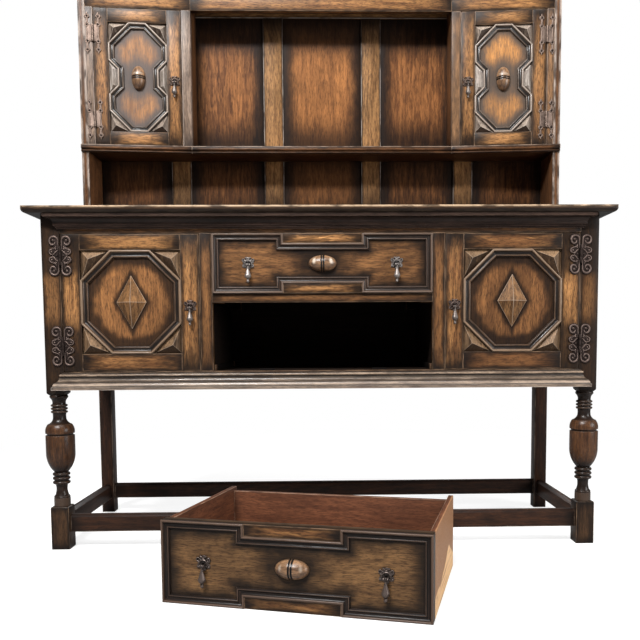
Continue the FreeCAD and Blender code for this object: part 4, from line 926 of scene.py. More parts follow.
    @classmethod
    def _relief(
        cls, bm: Mesh, lie: Lie, work: Work, wide: list[bmesh.types.BMFace]
    ) -> tuple[Array, Array]:
        """How far the points of a board stand proud, and how far they face up.

        Args:
            bm: the board.
            lie: how it lies.
            work: how it is worked.
            wide: faces that are flat up to their margins.

        Returns:
            A number about 0.5 and the upward part of the normal, for each point.
        """
        turn = np.zeros(len(bm.verts))
        for edge in bm.edges:
            if len(edge.link_faces) != 2 or edge.calc_length() < TINY:
                continue
            way = (edge.verts[1].co - edge.verts[0].co).normalized()
            if abs(way.dot(lie.along)) > 0.7 or work.crest < 0:
                angle = edge.calc_face_angle_signed()
                for vert in edge.verts:
                    turn[vert.index] += angle
        lean = np.array([v.normal.z for v in bm.verts])
        for face in wide:
            if face.is_valid:
                flat = [v.index for v in face.verts]
                turn[flat] = 0.0
                lean[flat] = face.normal.z
        return 0.5 + 0.28 * turn, lean

    @classmethod
    def join(
        cls,
        name: str,
        blanks: Sequence[Blank],
        finish: Finish,
        body: str,
        slot: str,
        nodes: Sequence[str] = (),
    ) -> Piece:
        """Join blanks into one piece that rides on a body.

        Args:
            name: the piece's name.
            blanks: its boards or castings.
            finish: its finish.
            body: the body it moves with.
            slot: the record's material slot; not used.
            nodes: frame nodes it stands for.

        Returns:
            The piece.
        """
        faces, start = [], 0
        for blank in blanks:
            faces += [tuple(i + start for i in face) for face in blank.faces]
            start += len(blank.points)
        mesh = bpy.data.meshes.new(name)
        mesh.from_pydata(np.concatenate([b.points for b in blanks]).tolist(), [], faces)
        marks = [(key, "FLOAT_VECTOR", "vector") for key in ("grain", "local", "half")]
        marks += [(key, "FLOAT", "value") for key in ("tone", "shade", "relief", "fleck")]
        for key, kind, field in marks:
            values = np.concatenate([getattr(b, key) for b in blanks]).astype(np.float32)
            mesh.attributes.new(key, kind, "POINT").data.foreach_set(field, values.ravel())
        mesh.validate()
        mesh.shade_smooth()
        mesh.set_sharp_from_angle(angle=cls.HARD_EDGE)
        mesh.materials.append(finish.material())
        piece = bpy.data.objects.new(name, mesh)
        bpy.context.scene.collection.objects.link(piece)
        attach(piece, body)
        if nodes:
            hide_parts(*nodes)
        return piece

    @classmethod
    def dress(
        cls,
        node: str,
        finish: Finish,
        slot: str,
        work: Work | Callable[[Array], Work] = Work(),
        body: str = CASE_BODY,
    ) -> Piece:
        """Dress every solid of a node in the same way and join them.

        Args:
            node: the node that the piece stands for.
            finish: its oak.
            slot: the record's material slot.
            work: how the boards are worked, or a rule that tells it from the middle of each board.
            body: the body it moves with.

        Returns:
            The piece.
        """
        rng = random.Random(node)
        blanks = []
        for solid in cls.solids(node):
            blanks += cls.board(solid, work(solid[0].mean(0)) if callable(work) else work, rng)
        return cls.join(f"{node}_finished", blanks, finish, body, slot, [node])


class Turnery:
    """Round work: outlines turned about an axis."""

    @staticmethod
    def outline(path: Sequence[tuple], chord: float) -> list[Span]:
        """Points along an outline of straight runs and three-point arcs.

        Args:
            path: points, or pairs of a point on an arc and the arc's end.
            chord: largest step along an arc.

        Returns:
            The outline's points.
        """
        points = [path[0]]
        for item in path[1:]:
            if not isinstance(item[0], tuple):
                points.append(item)
                continue
            start, middle, end = (np.array(p, float) for p in (points[-1], *item))
            a, b = middle - start, end - start
            cross = 2 * (a[0] * b[1] - a[1] * b[0])
            centre = start + np.array([b[1] * a @ a - a[1] * b @ b, a[0] * b @ b - b[0] * a @ a]) / cross
            radius = np.linalg.norm(start - centre)
            first, last = (math.atan2(*(p - centre)[::-1]) for p in (start, end))
            turn = 1 if cross > 0 else -1
            sweep = (last - first) * turn % FULL_TURN
            steps = max(4, math.ceil(sweep * radius / chord))
            for i in range(1, steps + 1):
                angle = first + turn * sweep * i / steps
                points.append((centre[0] + radius * math.cos(angle), centre[1] + radius * math.sin(angle)))
        return points

    @classmethod
    def turn(cls, outline: Path, lie: Lie, sides: int = 64, arc: float = FULL_TURN) -> Blank:
        """Turn an outline about the along way of a lie.

        Args:
            outline: radius and place along the axis, from one end to the other.
            lie: where the axis is and which way it runs.
            sides: steps round the axis.
            arc: how far round it goes, from across by way of out.

        Returns:
            The turned blank, closed.
        """
        whole = arc >= FULL_TURN
        count = sides if whole else sides + 1
        points, rings, marks = [], [], []
        for (radius, along), bend in zip(outline, cls.bends(outline)):
            start = len(points)
            if radius < TINY:
                rings.append([start] * count)
                points.append(lie.place(along, 0, 0))
            else:
                rings.append(list(range(start, start + count)))
                for angle in (arc * i / sides for i in range(count)):
                    points.append(lie.place(along, radius * math.cos(angle), radius * math.sin(angle)))
            marks += [bend] * (len(points) - start)
        faces = []
        for low, high in zip(rings, rings[1:]):
            for i in range(sides):
                j = (i + 1) % count
                corners = dict.fromkeys((low[i], low[j], high[j], high[i]))
                if len(corners) > 2:
                    faces.append(tuple(corners))
        if not whole:
            loop = dict.fromkeys([ring[0] for ring in rings] + [ring[-1] for ring in reversed(rings)])
            faces.append(tuple(reversed(loop)))
        places = np.array(points)
        blank = Blank.plain(places, faces, lie.local(places))
        blank.relief = np.array(marks)
        return blank

    @staticmethod
    def bends(outline: Path) -> list[float]:
        """How far an outline stands proud at each point: 0 in a hollow, 1 on a sharp ridge.

        Args:
            outline: radius and place along the axis.

        Returns:
            One number for each point.
        """
        line = np.array(outline, float)
        result = []
        for i in range(len(line)):
            before = line[i] - line[max(i - 1, 0)]
            after = line[min(i + 1, len(line) - 1)] - line[i]
            turn = before[0] * after[1] - before[1] * after[0]
            scale = np.linalg.norm(before) * np.linalg.norm(after)
            angle = math.asin(max(-1.0, min(1.0, turn / scale))) if scale > 1e-15 else 0.0
            result.append(min(1.0, max(0.0, 0.5 + 0.7 * angle)))
        return result


@dataclass(frozen=True)
class Lamp:
    """A broad lamp: where it hangs, the point it faces, its width and height and its power."""

    name: str
    place: Triple
    aim: Triple
    size: Span
    watts: float

    def hang(self) -> None:
        """Hang the lamp in the room."""
        data = bpy.data.lights.new(self.name, "AREA")
        data.shape = "RECTANGLE"
        data.size, data.size_y = self.size
        data.energy = self.watts
        lamp = bpy.data.objects.new(self.name, data)
        lamp.location = self.place
        lamp.rotation_euler = (Vector(self.aim) - Vector(self.place)).to_track_quat("-Z", "Y").to_euler()
        bpy.context.scene.collection.objects.link(lamp)


@dataclass
class Studio:
    """White room: floor, lamps, surrounding light and the camera."""

    eye: Triple = (0.01354, -1.91262, 0.54593)
    yaw: float = 0.0224
    pitch: float = 0.07451
    roll: float = -0.00604
    lens: float = 41.573
    sensor: float = 36.0
    shift: Span = (-0.03953, 0.12188)
    ambient: float = 0.17
    floor_half: float = 40.0
    floor_level: float = -0.0004
    floor_fade: Span = (1.1, 2.6)
    floor_glow: float = 0.7
    white: Triple = (1.0, 1.0, 1.0)
    lamps: tuple[Lamp, ...] = (
        Lamp("key_lamp", (-1.25, -2.85, 3.65), (0.0, 0.2, 0.9), (1.5, 0.5), 242.0),
        Lamp("overhead_lamp", (0.1, -1.3, 3.3), (0.0, 0.15, 0.8), (2.6, 1.3), 48.0),
        Lamp("side_lamp", (3.2, -1.5, 1.3), (0.3, -0.2, 0.5), (1.4, 1.4), 66.0),
        Lamp("back_lamp", (0.0, 3.2, 2.6), (0.0, 0.3, 0.8), (3.0, 2.0), 70.0),
    )

    def build(self) -> None:
        """Set up the floor, the light and the camera."""
        bpy.context.scene.view_settings.view_transform = "Standard"
        self._floor()
        self._surround()
        for lamp in self.lamps:
            lamp.hang()
        self._camera()

    def _floor(self) -> None:
        """Pale floor that keeps a soft shadow near the dresser and runs out into white."""
        mesh = bpy.data.meshes.new("floor")
        corners = [(x * self.floor_half, y * self.floor_half, 0) for x, y in SQUARE]
        mesh.from_pydata(corners, [], [(0, 1, 2, 3)])
        floor = bpy.data.objects.new("floor", mesh)
        floor.location.z = self.floor_level
        bpy.context.scene.collection.objects.link(floor)
        material = bpy.data.materials.new("floor_white")
        g = Graph(material)
        place = g.node("ShaderNodeNewGeometry").outputs["Position"]
        length = g.node("ShaderNodeVectorMath", place, operation="LENGTH").outputs["Value"]
        far = g.ease(length, *self.floor_fade)
        matt, plain = (g.node("ShaderNodeBsdfDiffuse", (grey,) * 3).outputs[0] for grey in (0.5, 0.4))
        glow, white = (
            g.node("ShaderNodeEmission", self.white, power).outputs[0] for power in (self.floor_glow, 1.0)
        )
        near = g.node("ShaderNodeAddShader", matt, glow).outputs[0]
        shown = g.node("ShaderNodeMixShader", far, near, white).outputs[0]
        seen = g.node("ShaderNodeLightPath").outputs["Is Camera Ray"]
        g.node("ShaderNodeOutputMaterial", g.node("ShaderNodeMixShader", seen, plain, shown).outputs[0])
        mesh.materials.append(material)

    def _surround(self) -> None:
        """White all round for the eye, softer as a light."""
        world = bpy.data.worlds.new("white_room")
        g = Graph(world)
        seen = g.node("ShaderNodeLightPath").outputs["Is Camera Ray"]
        strength = g.node("ShaderNodeMapRange", seen, 0.0, 1.0, self.ambient, 1.0).outputs[0]
        light = g.node("ShaderNodeBackground", self.white, strength)
        g.node("ShaderNodeOutputWorld", light.outputs[0])
        bpy.context.scene.world = world

    def _camera(self) -> None:
        """Stand the camera where the photograph was taken."""
        data = bpy.data.cameras.new("camera")
        data.sensor_width = self.sensor
        data.lens = self.lens
        data.shift_x, data.shift_y = self.shift
        right = Vector((math.cos(self.yaw), -math.sin(self.yaw), 0))
        level = Vector((math.sin(self.yaw), math.cos(self.yaw), 0))
        ahead = level * math.cos(self.pitch) - UP * math.sin(self.pitch)
        over = right.cross(ahead)
        cos, sin = math.cos(self.roll), math.sin(self.roll)
        rows = Matrix((right * cos + over * sin, over * cos - right * sin, -ahead))
        camera = bpy.data.objects.new("camera", data)
        camera.matrix_world = Matrix.Translation(self.eye) @ rows.transposed().to_4x4()
        bpy.context.scene.collection.objects.link(camera)
        bpy.context.scene.camera = camera


PROFILE_EASE, PROFILE_MARGIN = 0.0005, 0.0012


@dataclass
class CaseBase:
    """Cupboard base: frame, ends, inside, mouldings and worktop."""

    arris: float = 0.0012
    inside_arris: float = 0.0008
    end_joints: tuple[float, ...] = (-0.3, 0.34)
    top_joints: tuple[float, ...] = (-0.36, 0.3)
    # Base moulding: where painted shade runs along its hollows (height and width) and painted highlights
    # along its rounds, in metres.
    base_hollows: tuple[Span, ...] = ((0.0088, 0.0015), (0.0195, 0.0028), (0.0325, 0.0018))
    base_rounds: tuple[float, ...] = (0.0135, 0.0265, 0.0375)
    round_width: float = 0.003

    def build(self) -> list[Piece]:
        """Make the pieces of the base.

        Returns:
            The pieces.
        """
        upright = Work(self.arris, Grain.UPRIGHT)
        ends = Work(self.arris, Grain.UPRIGHT, joints=self.end_joints)
        inside = Work(self.inside_arris)
        runner = Work(self.inside_arris, cells=0.02, shade=self._runner_shade)
        crown = Work(PROFILE_EASE, margin=PROFILE_MARGIN)
        base = Work(
            PROFILE_EASE, margin=PROFILE_MARGIN, crest=0.5, shade=self._base_shade, raw=self._base_light
        )
        top = Work(self.arris, joints=self.top_joints, close=True, shade=self._top_shade, tone=(0.3, 0.7))
        rows = (
            ("face_frame", FRAME_OAK, "case_oak", Work(self.arris, tone=(0.3, 0.6))),
            ("side_rails", CASE_OAK, "case_oak", Work()),
            ("side_panels", END_PANEL_OAK, "panel_oak", ends),
            ("rear_legs", UNDERFRAME_OAK, "case_oak", upright),
            ("stretchers", UNDERFRAME_OAK, "case_oak", Work(0.001, tone=(0.3, 0.7))),
            ("crown_moulding", CROWN_OAK, "moulding_oak", crown),
            ("base_moulding", BASE_OAK, "moulding_oak", base),
            ("worktop", WORKTOP_OAK, "case_oak", top),
            ("case_bottom", INSIDE_OAK, "inside_oak", inside),
            ("case_back", INSIDE_OAK, "inside_oak", inside),
            ("partitions", INSIDE_OAK, "inside_oak", inside),
            ("cupboard_shelves", INSIDE_OAK, "inside_oak", inside),
            ("drawer_runners", RUNNER_OAK, "inside_oak", runner),
            ("door_stops", INSIDE_OAK, "inside_oak", inside),
        )
        return [Bench.dress(*row) for row in rows]

    def _base_shade(self, local: Array) -> Array:
        """Base moulding: painted shade in its hollows."""
        height = local[:, 1] - local[:, 1].min()
        return 1 - 0.92 * np.max([bell(height, at, wide) for at, wide in self.base_hollows], axis=0)

    def _base_light(self, local: Array) -> Array:
        """Base moulding: painted highlights on its rounds."""
        height = local[:, 1] - local[:, 1].min()
        return 0.55 * np.max([bell(height, at, self.round_width) for at in self.base_rounds], axis=0) - 0.15

    @staticmethod
    def _runner_shade(local: Array) -> Array:
        """Runner: painted shade over all of it but its ends."""
        reach = np.abs(local[:, 0])
        return smooth(0.05, 0.015, reach.max() - reach) * (reach.max() > 0.1)

    @staticmethod
    def _top_shade(local: Array) -> Array:
        """Worktop: painted shade under its upper edge, over the lower part of its front edge and its lower
        arris.
        """
        return lifted(0.08, smooth(-0.002, 0.006, local[:, 2]))


@dataclass
class PlateRack:
    """Plate rack: sides, shelf, back, fronts of the cupboards and the cornice."""

    arris: float = 0.001
    middle_panel_half: float = 0.1
    middle_panel_tone: float = 1.0
    panel_tone: float = 0.42

    def build(self) -> list[Piece]:
        """Make the pieces of the rack.

        Returns:
            The pieces.
        """
        plain = Work(self.arris)
        upright = Work(self.arris, Grain.UPRIGHT)
        frame_work = Work(self.arris, cells=0.03, shade=self._frame_shade, tone=(0.4, 0.6))
        cornice = Work(PROFILE_EASE, margin=PROFILE_MARGIN)
        return [
            Bench.dress("rack_sides", SIDE_OAK, "case_oak", upright),
            # Painted shade under the shelf: its faces that look down are darker.
            Bench.dress("rack_shelf", RACK_OAK, "case_oak", Work(self.arris, facing=0.9)),
            *self._stiles(),
            Bench.dress("rack_partitions", RACK_OAK, "case_oak", upright),
            Bench.dress("rack_back_frame", MUNTIN_OAK, "case_oak", frame_work),
            Bench.dress("rack_back_panels", BACK_OAK, "panel_oak", self._back_work),
            Bench.dress("rack_frieze", CASE_OAK, "case_oak", plain),
            Bench.dress("rack_top", RACK_OAK, "case_oak", plain),
            Bench.dress("cornice", MOULDING_OAK, "moulding_oak", cornice),
        ]

    def _stiles(self) -> list[Piece]:
        """Stiles of the two cupboards; those on the left are paler and greyer, with a painted sheen.

        Returns:
            One piece for each side.
        """
        node = "rack_stiles"
        rng = random.Random(node)
        work = Work(self.arris, Grain.UPRIGHT, fleck=0.2)
        made = []
        for side, oak in ((Side.LEFT, STILE_OAK), (Side.RIGHT, RIGHT_STILE_OAK)):
            solids = [solid for solid in Bench.solids(node) if solid[0][:, 0].mean() * side.value > 0]
            blanks = [blank for solid in solids for blank in Bench.board(solid, work, rng)]
            stands_for = [node] if side is Side.LEFT else []
            made.append(Bench.join(f"{node}_{side.word}", blanks, oak, CASE_BODY, "case_oak", stands_for))
        return made

    def _back_work(self, middle: Array) -> Work:
        """Work of one back panel; the middle one is the palest.

        Args:
            middle: the panel's middle.

        Returns:
            The work.
        """
        tone = self.middle_panel_tone if abs(middle[0]) < self.middle_panel_half else self.panel_tone
        return Work(
            self.arris, Grain.UPRIGHT, cells=0.02, shade=self._panel_shade, tone=about(tone), fleck=0.25
        )

    @staticmethod
    def _panel_shade(local: Array) -> Array:
        """Back panel: painted shade below the shelf, a painted shadow under the top, and darker towards its
        edges.

        Args:
            local: places on the panel.

        Returns:
            The shade of each place, 1 where it is clear.
        """
        half = np.abs(local).max(0)
        up = local[:, 0] / half[0] + 0.05 * PanelShade.cloud(local, 9.0)
        # Painted shadow under the top and painted shade below the shelf, lighter again towards the bottom.
        upper = smooth(-0.24, 0.1, up) * (1 - 0.95 * smooth(0.58, 0.78, up))
        lower = 0.42 * smooth(-0.3, -0.85, up)
        inset = half[1] - np.abs(local[:, 1]) + 0.012 * PanelShade.cloud(local, 25.0)
        shade = lifted(0.1, np.maximum(upper, lower)) * lifted(0.12, smooth(0.0, 0.055, inset))
        return PanelShade.outside(local, shade)

    @staticmethod
    def _frame_shade(local: Array) -> Array:
        """Muntins and rails of the back: darker towards both ends."""
        along = np.abs(local[:, 0]) / np.abs(local[:, 0]).max() + 0.06 * PanelShade.cloud(local, 12.0)
        return lifted(0.15, smooth(0.95, 0.45, along))


LOWER_HINGES = (0.541, 0.775)
UPPER_HINGES = (1.2225, 1.4725)


@dataclass
class TurnedLeg:
    """Post, turned leg and square foot of one front corner, in millimetres and shares of the turning."""

    side: Side
    block_bottom: float = 411.972
    foot_height: float = 115.0
    post_size: float = 48.0
    post_chamfer: float = 6.0
    foot_chamfer: float = 2.5
    arris: float = 0.0022
    bulb: float = 37.0
    upper_neck: float = 17.0
    lower_neck: float = 15.5
    upper_bead: float = 21.5
    lower_bead: float = 22.5
    drum: float = 21.0
    shoulder: float = 18.5
    cap: float = 21.5
    drum_share: float = 0.075
    shoulder_share: float = 0.02
    lower_neck_share: float = 0.1
    lower_bead_share: float = 0.038
    cap_share: float = 0.027
    cove_share: float = 0.05
    upper_bead_share: float = 0.029
    upper_neck_share: float = 0.047
    cover_share: float = 0.131
    groove_share: float = 0.017
    bead_count: int = 3

    def outline(self) -> list[Span]:
        """Half outline of the turned part, from foot to block.

        Returns:
            Radius and height of each point.
        """
        floor, top = self.foot_height, self.block_bottom
        length = top - floor
        drum_top = floor + self.drum_share * length
        shoulder_top = drum_top + self.shoulder_share * length
        beads_low = shoulder_top + self.lower_neck_share * length
        bead, small = self.lower_bead_share * length, self.upper_bead_share * length
        cup_low = beads_low + self.bead_count * bead
        cove_top = top - self.cap_share * length
        beads_high = cove_top - self.cove_share * length
        neck_top = beads_high - self.bead_count * small
        cover_top = neck_top - self.upper_neck_share * length
        cover = self.cover_share * length
        groove_top = cover_top - cover
        cup_top = groove_top - self.groove_share * length
        cup = cup_top - cup_low
        low, high, bulb, cap = self.lower_neck, self.upper_neck, self.bulb, self.cap
        drum, shoulder = self.drum, self.shoulder
        slope = (shoulder + 0.72 * (drum - shoulder), drum_top + 0.72 * (shoulder_top - drum_top))
        path = [(0.0, floor - 2), (drum - 0.6, floor - 2), (drum - 0.6, floor + 0.2), (drum, floor + 0.8)]
        path += [(drum, drum_top - 0.6), (drum - 0.5, drum_top), (drum - 0.9, drum_top + 0.3)]
        path += [(slope, (shoulder, shoulder_top)), (shoulder - 0.7, shoulder_top + 0.4)]
        path += [((low - 1.2, (shoulder_top + beads_low) / 2), (low, beads_low))]
        path += self._beads(low, self.lower_bead, 0.4, beads_low, bead)
        path += [(17.5, cup_low), ((0.87 * bulb, cup_low + 0.24 * cup), (bulb, cup_low + 0.52 * cup))]
        path += [(bulb, cup_top - 1.2), ((bulb - 0.35, cup_top - 0.35), (bulb - 1.2, cup_top))]
        path += [(bulb - 4, cup_top), (bulb - 4, groove_top), (bulb - 1.2, groove_top)]
        path += [((bulb - 0.35, groove_top + 0.35), (bulb, groove_top + 1.2))]
        path += [((0.97 * bulb, groove_top + 0.36 * cover), (0.83 * bulb, groove_top + 0.62 * cover))]
        path += [((high + 3.6, groove_top + 0.8 * cover), (high, cover_top))]
        path += [(high - 0.4, (cover_top + neck_top) / 2), (high, neck_top)]
        path += self._beads(high, self.upper_bead, 0.3, neck_top, small)
        path += [((high + 0.8, beads_high + 0.6 * (cove_top - beads_high)), (cap, cove_top))]
        path += [((cap + 2, (cove_top + top) / 2), (cap, top)), (cap, top + 2), (0.0, top + 2)]
        return Turnery.outline(path, 1.1)

    def _beads(self, neck: float, swell: float, lip: float, foot: float, height: float) -> list[tuple]:
        """Outline of a row of beads.

        Args:
            neck: radius between the beads.
            swell: radius of the beads.
            lip: how far each bead's edge stands off the neck.
            foot: where the row starts.
            height: height of one bead.

        Returns:
            Points and arcs.
        """
        path = []
        for low in (foot + i * height for i in range(self.bead_count)):
            path += [(neck + lip, low + 0.18 * height)]
            path += [((swell, low + 0.5 * height), (neck + lip, low + 0.82 * height)), (neck, low + height)]
        return path

    def build(self) -> list[Piece]:
        """Turn the leg and plane the post and foot.

        Returns:
            The three pieces.
        """
        node = f"front_leg_{self.side.word}"
        low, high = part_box(node)
        centre = (low + high) / 2
        centre.z = 0.0
        lie = Lie(centre, UP.copy(), Vector((1, 0, 0)), Vector((0, 1, 0)))
        turned = Turnery.turn(metres(self.outline()), lie, 72)
        radius = np.hypot(turned.points[:, 0] - centre.x, turned.points[:, 1] - centre.y)
        turned.shade = lifted(0.12, smooth(0.022, 0.036, radius))
        turned.grain = turned.grain + random.Random(node).uniform(0, Bench.GRAIN_SHIFT)
        half, bottom, rise = self.post_size * MM / 2, self.block_bottom * MM, self.foot_height * MM
        cut, foot_cut = self.post_chamfer * MM, self.foot_chamfer * MM
        post = self._block(centre, [(bottom, half - cut), (bottom + cut, half), (high.z, half)])
        foot = self._block(centre, [(0.0, half), (rise - foot_cut, half), (rise, half - foot_cut)])
        shade = partial(PanelShade.hinges, post[0], LOWER_HINGES, 0.9)
        tone = (0.6, 0.75) if self.side is Side.LEFT else (0.2, 0.3)
        post_work = Work(self.arris, Grain.UPRIGHT, cells=0.012, shade=shade, tone=tone)
        foot_work = Work(self.arris, Grain.UPRIGHT, tone=(0.4, 0.6))
        made = [Bench.join(f"{node}_turned", [turned], TURNED_OAK, CASE_BODY, "turned_oak", [node])]
        rows = (("post", post, POST_OAK, post_work), ("foot", foot, FOOT_OAK, foot_work))
        for part, block, oak, work in rows:
            name = f"{node}_{part}"
            blanks = Bench.board(block, work, random.Random(name))
            made.append(Bench.join(name, blanks, oak, CASE_BODY, "turned_oak"))
        return made

    @staticmethod
    def _block(centre: Vector, levels: Sequence[Span]) -> Solid:
        """Square block of a post or foot, with its turned end's corners cut off.

        Args:
            centre: middle of the leg on the floor.
            levels: height and half width of each ring of corners, from below.

        Returns:
            Points and faces.
        """
        points = [(centre.x + x * h, centre.y + y * h, z) for z, h in levels for x, y in SQUARE]
        top = len(points) - len(SQUARE)
        walls = [(a, d, c, b) for a, b, c, d in quads(len(levels), len(SQUARE))]
        return np.array(points), [(3, 2, 1, 0), *walls, tuple(range(top, len(points)))]


def joint_named(name: str) -> dict:
    """A joint of the frame by its name."""
    return next(joint for joint in frame["joints"] if joint["name"] == name)


@dataclass(frozen=True)
class Pivot:
    """A joint's centre with the ways right, up and out of the face that it belongs to."""

    at: Vector
    right: Vector
    out: Vector

    @classmethod
    def of_swing(cls, name: str) -> "Pivot":
        """Read the pivot of a hanging drop.

        Args:
            name: the joint's name.

        Returns:
            The pivot.
        """
        joint = joint_named(name)
        right = -Vector(joint["axis"]).normalized()
        return cls(Vector(joint["pos_m"]), right, right.cross(UP))

    def place(self, right: float, up: float, out: float) -> Vector:
        """A point by millimetres right, up and out from the centre."""
        return self.at + (self.right * right + UP * up + self.out * out) * MM


@dataclass(frozen=True)
class Rib:
    """Half-round rib on a plate: path, half width and rise in millimetres, and how deep it is sunk."""

    path: Path
    width: float
    rise: float
    sunk: float = 0.0

    def cast(self, place: Place, face: float, flip: tuple[int, int] = (1, 1)) -> Blank:
        """Cast the rib, tapered at its ends.

        Args:
            place: turns reach, height and distance out into a point.
            face: how far out the plate's face is.
            flip: signs of reach and height, to mirror it.

        Returns:
            The rib, closed.
        """
        line = np.array(self.path, float) * flip
        count, steps = len(line), 8
        points, marks = [], []
        for i in range(count):
            way = line[min(i + 1, count - 1)] - line[max(i - 1, 0)]
            way /= max(np.linalg.norm(way), 1e-9)
            share = min(i, count - 1 - i) / max(1.0, 0.25 * (count - 1))
            taper = lifted(0.45, min(1.0, share))
            for turn in (math.pi * k / (steps - 1) for k in range(steps)):
                x, z = line[i] + self.width * taper * math.cos(turn) * np.array([-way[1], way[0]])
                points.append(place(x, z, face - self.sunk + self.rise * taper * math.sin(turn)))
                marks.append(0.12 + 0.8 * math.sin(turn) ** 2)
        ends = [tuple(range(steps)), tuple(reversed(range((count - 1) * steps, count * steps)))]
        bm = Bench.loose_mesh(points, quads(count, steps) + ends)
        bmesh.ops.recalc_face_normals(bm, faces=bm.faces[:])
        blank = Blank.cast(points, Bench.corners(bm))
        bm.free()
        blank.relief = np.array(marks)
        return blank


@dataclass(frozen=True)
class Dome:
    """Domed nail head or disc: its place on the plate, its radius, rise and brightness, in millimetres."""

    at: Span
    radius: float
    rise: float
    bright: float
    sunk: float = 0.0

    def cast(self, place: Place, face: float, flip: tuple[int, int] = (1, 1)) -> Blank:
        """Cast the dome.

        Args:
            place: turns reach, height and distance out into a point.
            face: how far out the plate's face is.
            flip: signs of reach and height, to mirror it.

        Returns:
            The dome, closed.
        """
        radius, rise = self.radius, self.rise
        path = [(0.0, 0.0), (radius, 0.0), (radius, 0.15 * rise), ((0.72 * radius, 0.74 * rise), (0.0, rise))]
        foot = place(flip[0] * self.at[0], flip[1] * self.at[1], face - self.sunk)
        out = (place(0, 0, 1) - place(0, 0, 0)).normalized()
        lie = Lie(foot, out, UP.cross(out), UP.copy())
        blank = Turnery.turn(metres(Turnery.outline(path, 0.5)), lie, 20)
        blank.relief = np.full(len(blank.points), self.bright)
        return blank


def arc_path(reach: float, up: float, radius: float, first: float, last: float, steps: int) -> list[Span]:
    """Points along an arc about a centre, from the first to the last angle in degrees."""
    turns = np.radians(np.linspace(first, last, steps))
    return [(reach + radius * math.cos(t), up + radius * math.sin(t)) for t in turns]


MIRROR = (1, -1)
HANDLE_ARCH = Rib(arc_path(0, 2.0, 9.6, -28, 208, 22), 2.0, 3.4)
HANDLE_PAIRS = (
    Rib(arc_path(11.6, 12.4, 3.5, -150, 170, 16), 1.4, 2.6, 0.4),
    Rib(((1.4, 15.0), (3.4, 17.4), (6.0, 18.8), (8.4, 18.6)), 2.4, 3.2, 0.6),
    Dome((12.4, -3.4), 2.8, 2.6, 0.6, 1.0),
)
# The second dome is left dark, a painted shade for the hole in the middle of the plate.
HANDLE_DOMES = (Dome((0.0, 14.6), 2.4, 3.4, 0.8), Dome((0.0, 7.0), 5.2, 3.0, 0.0))


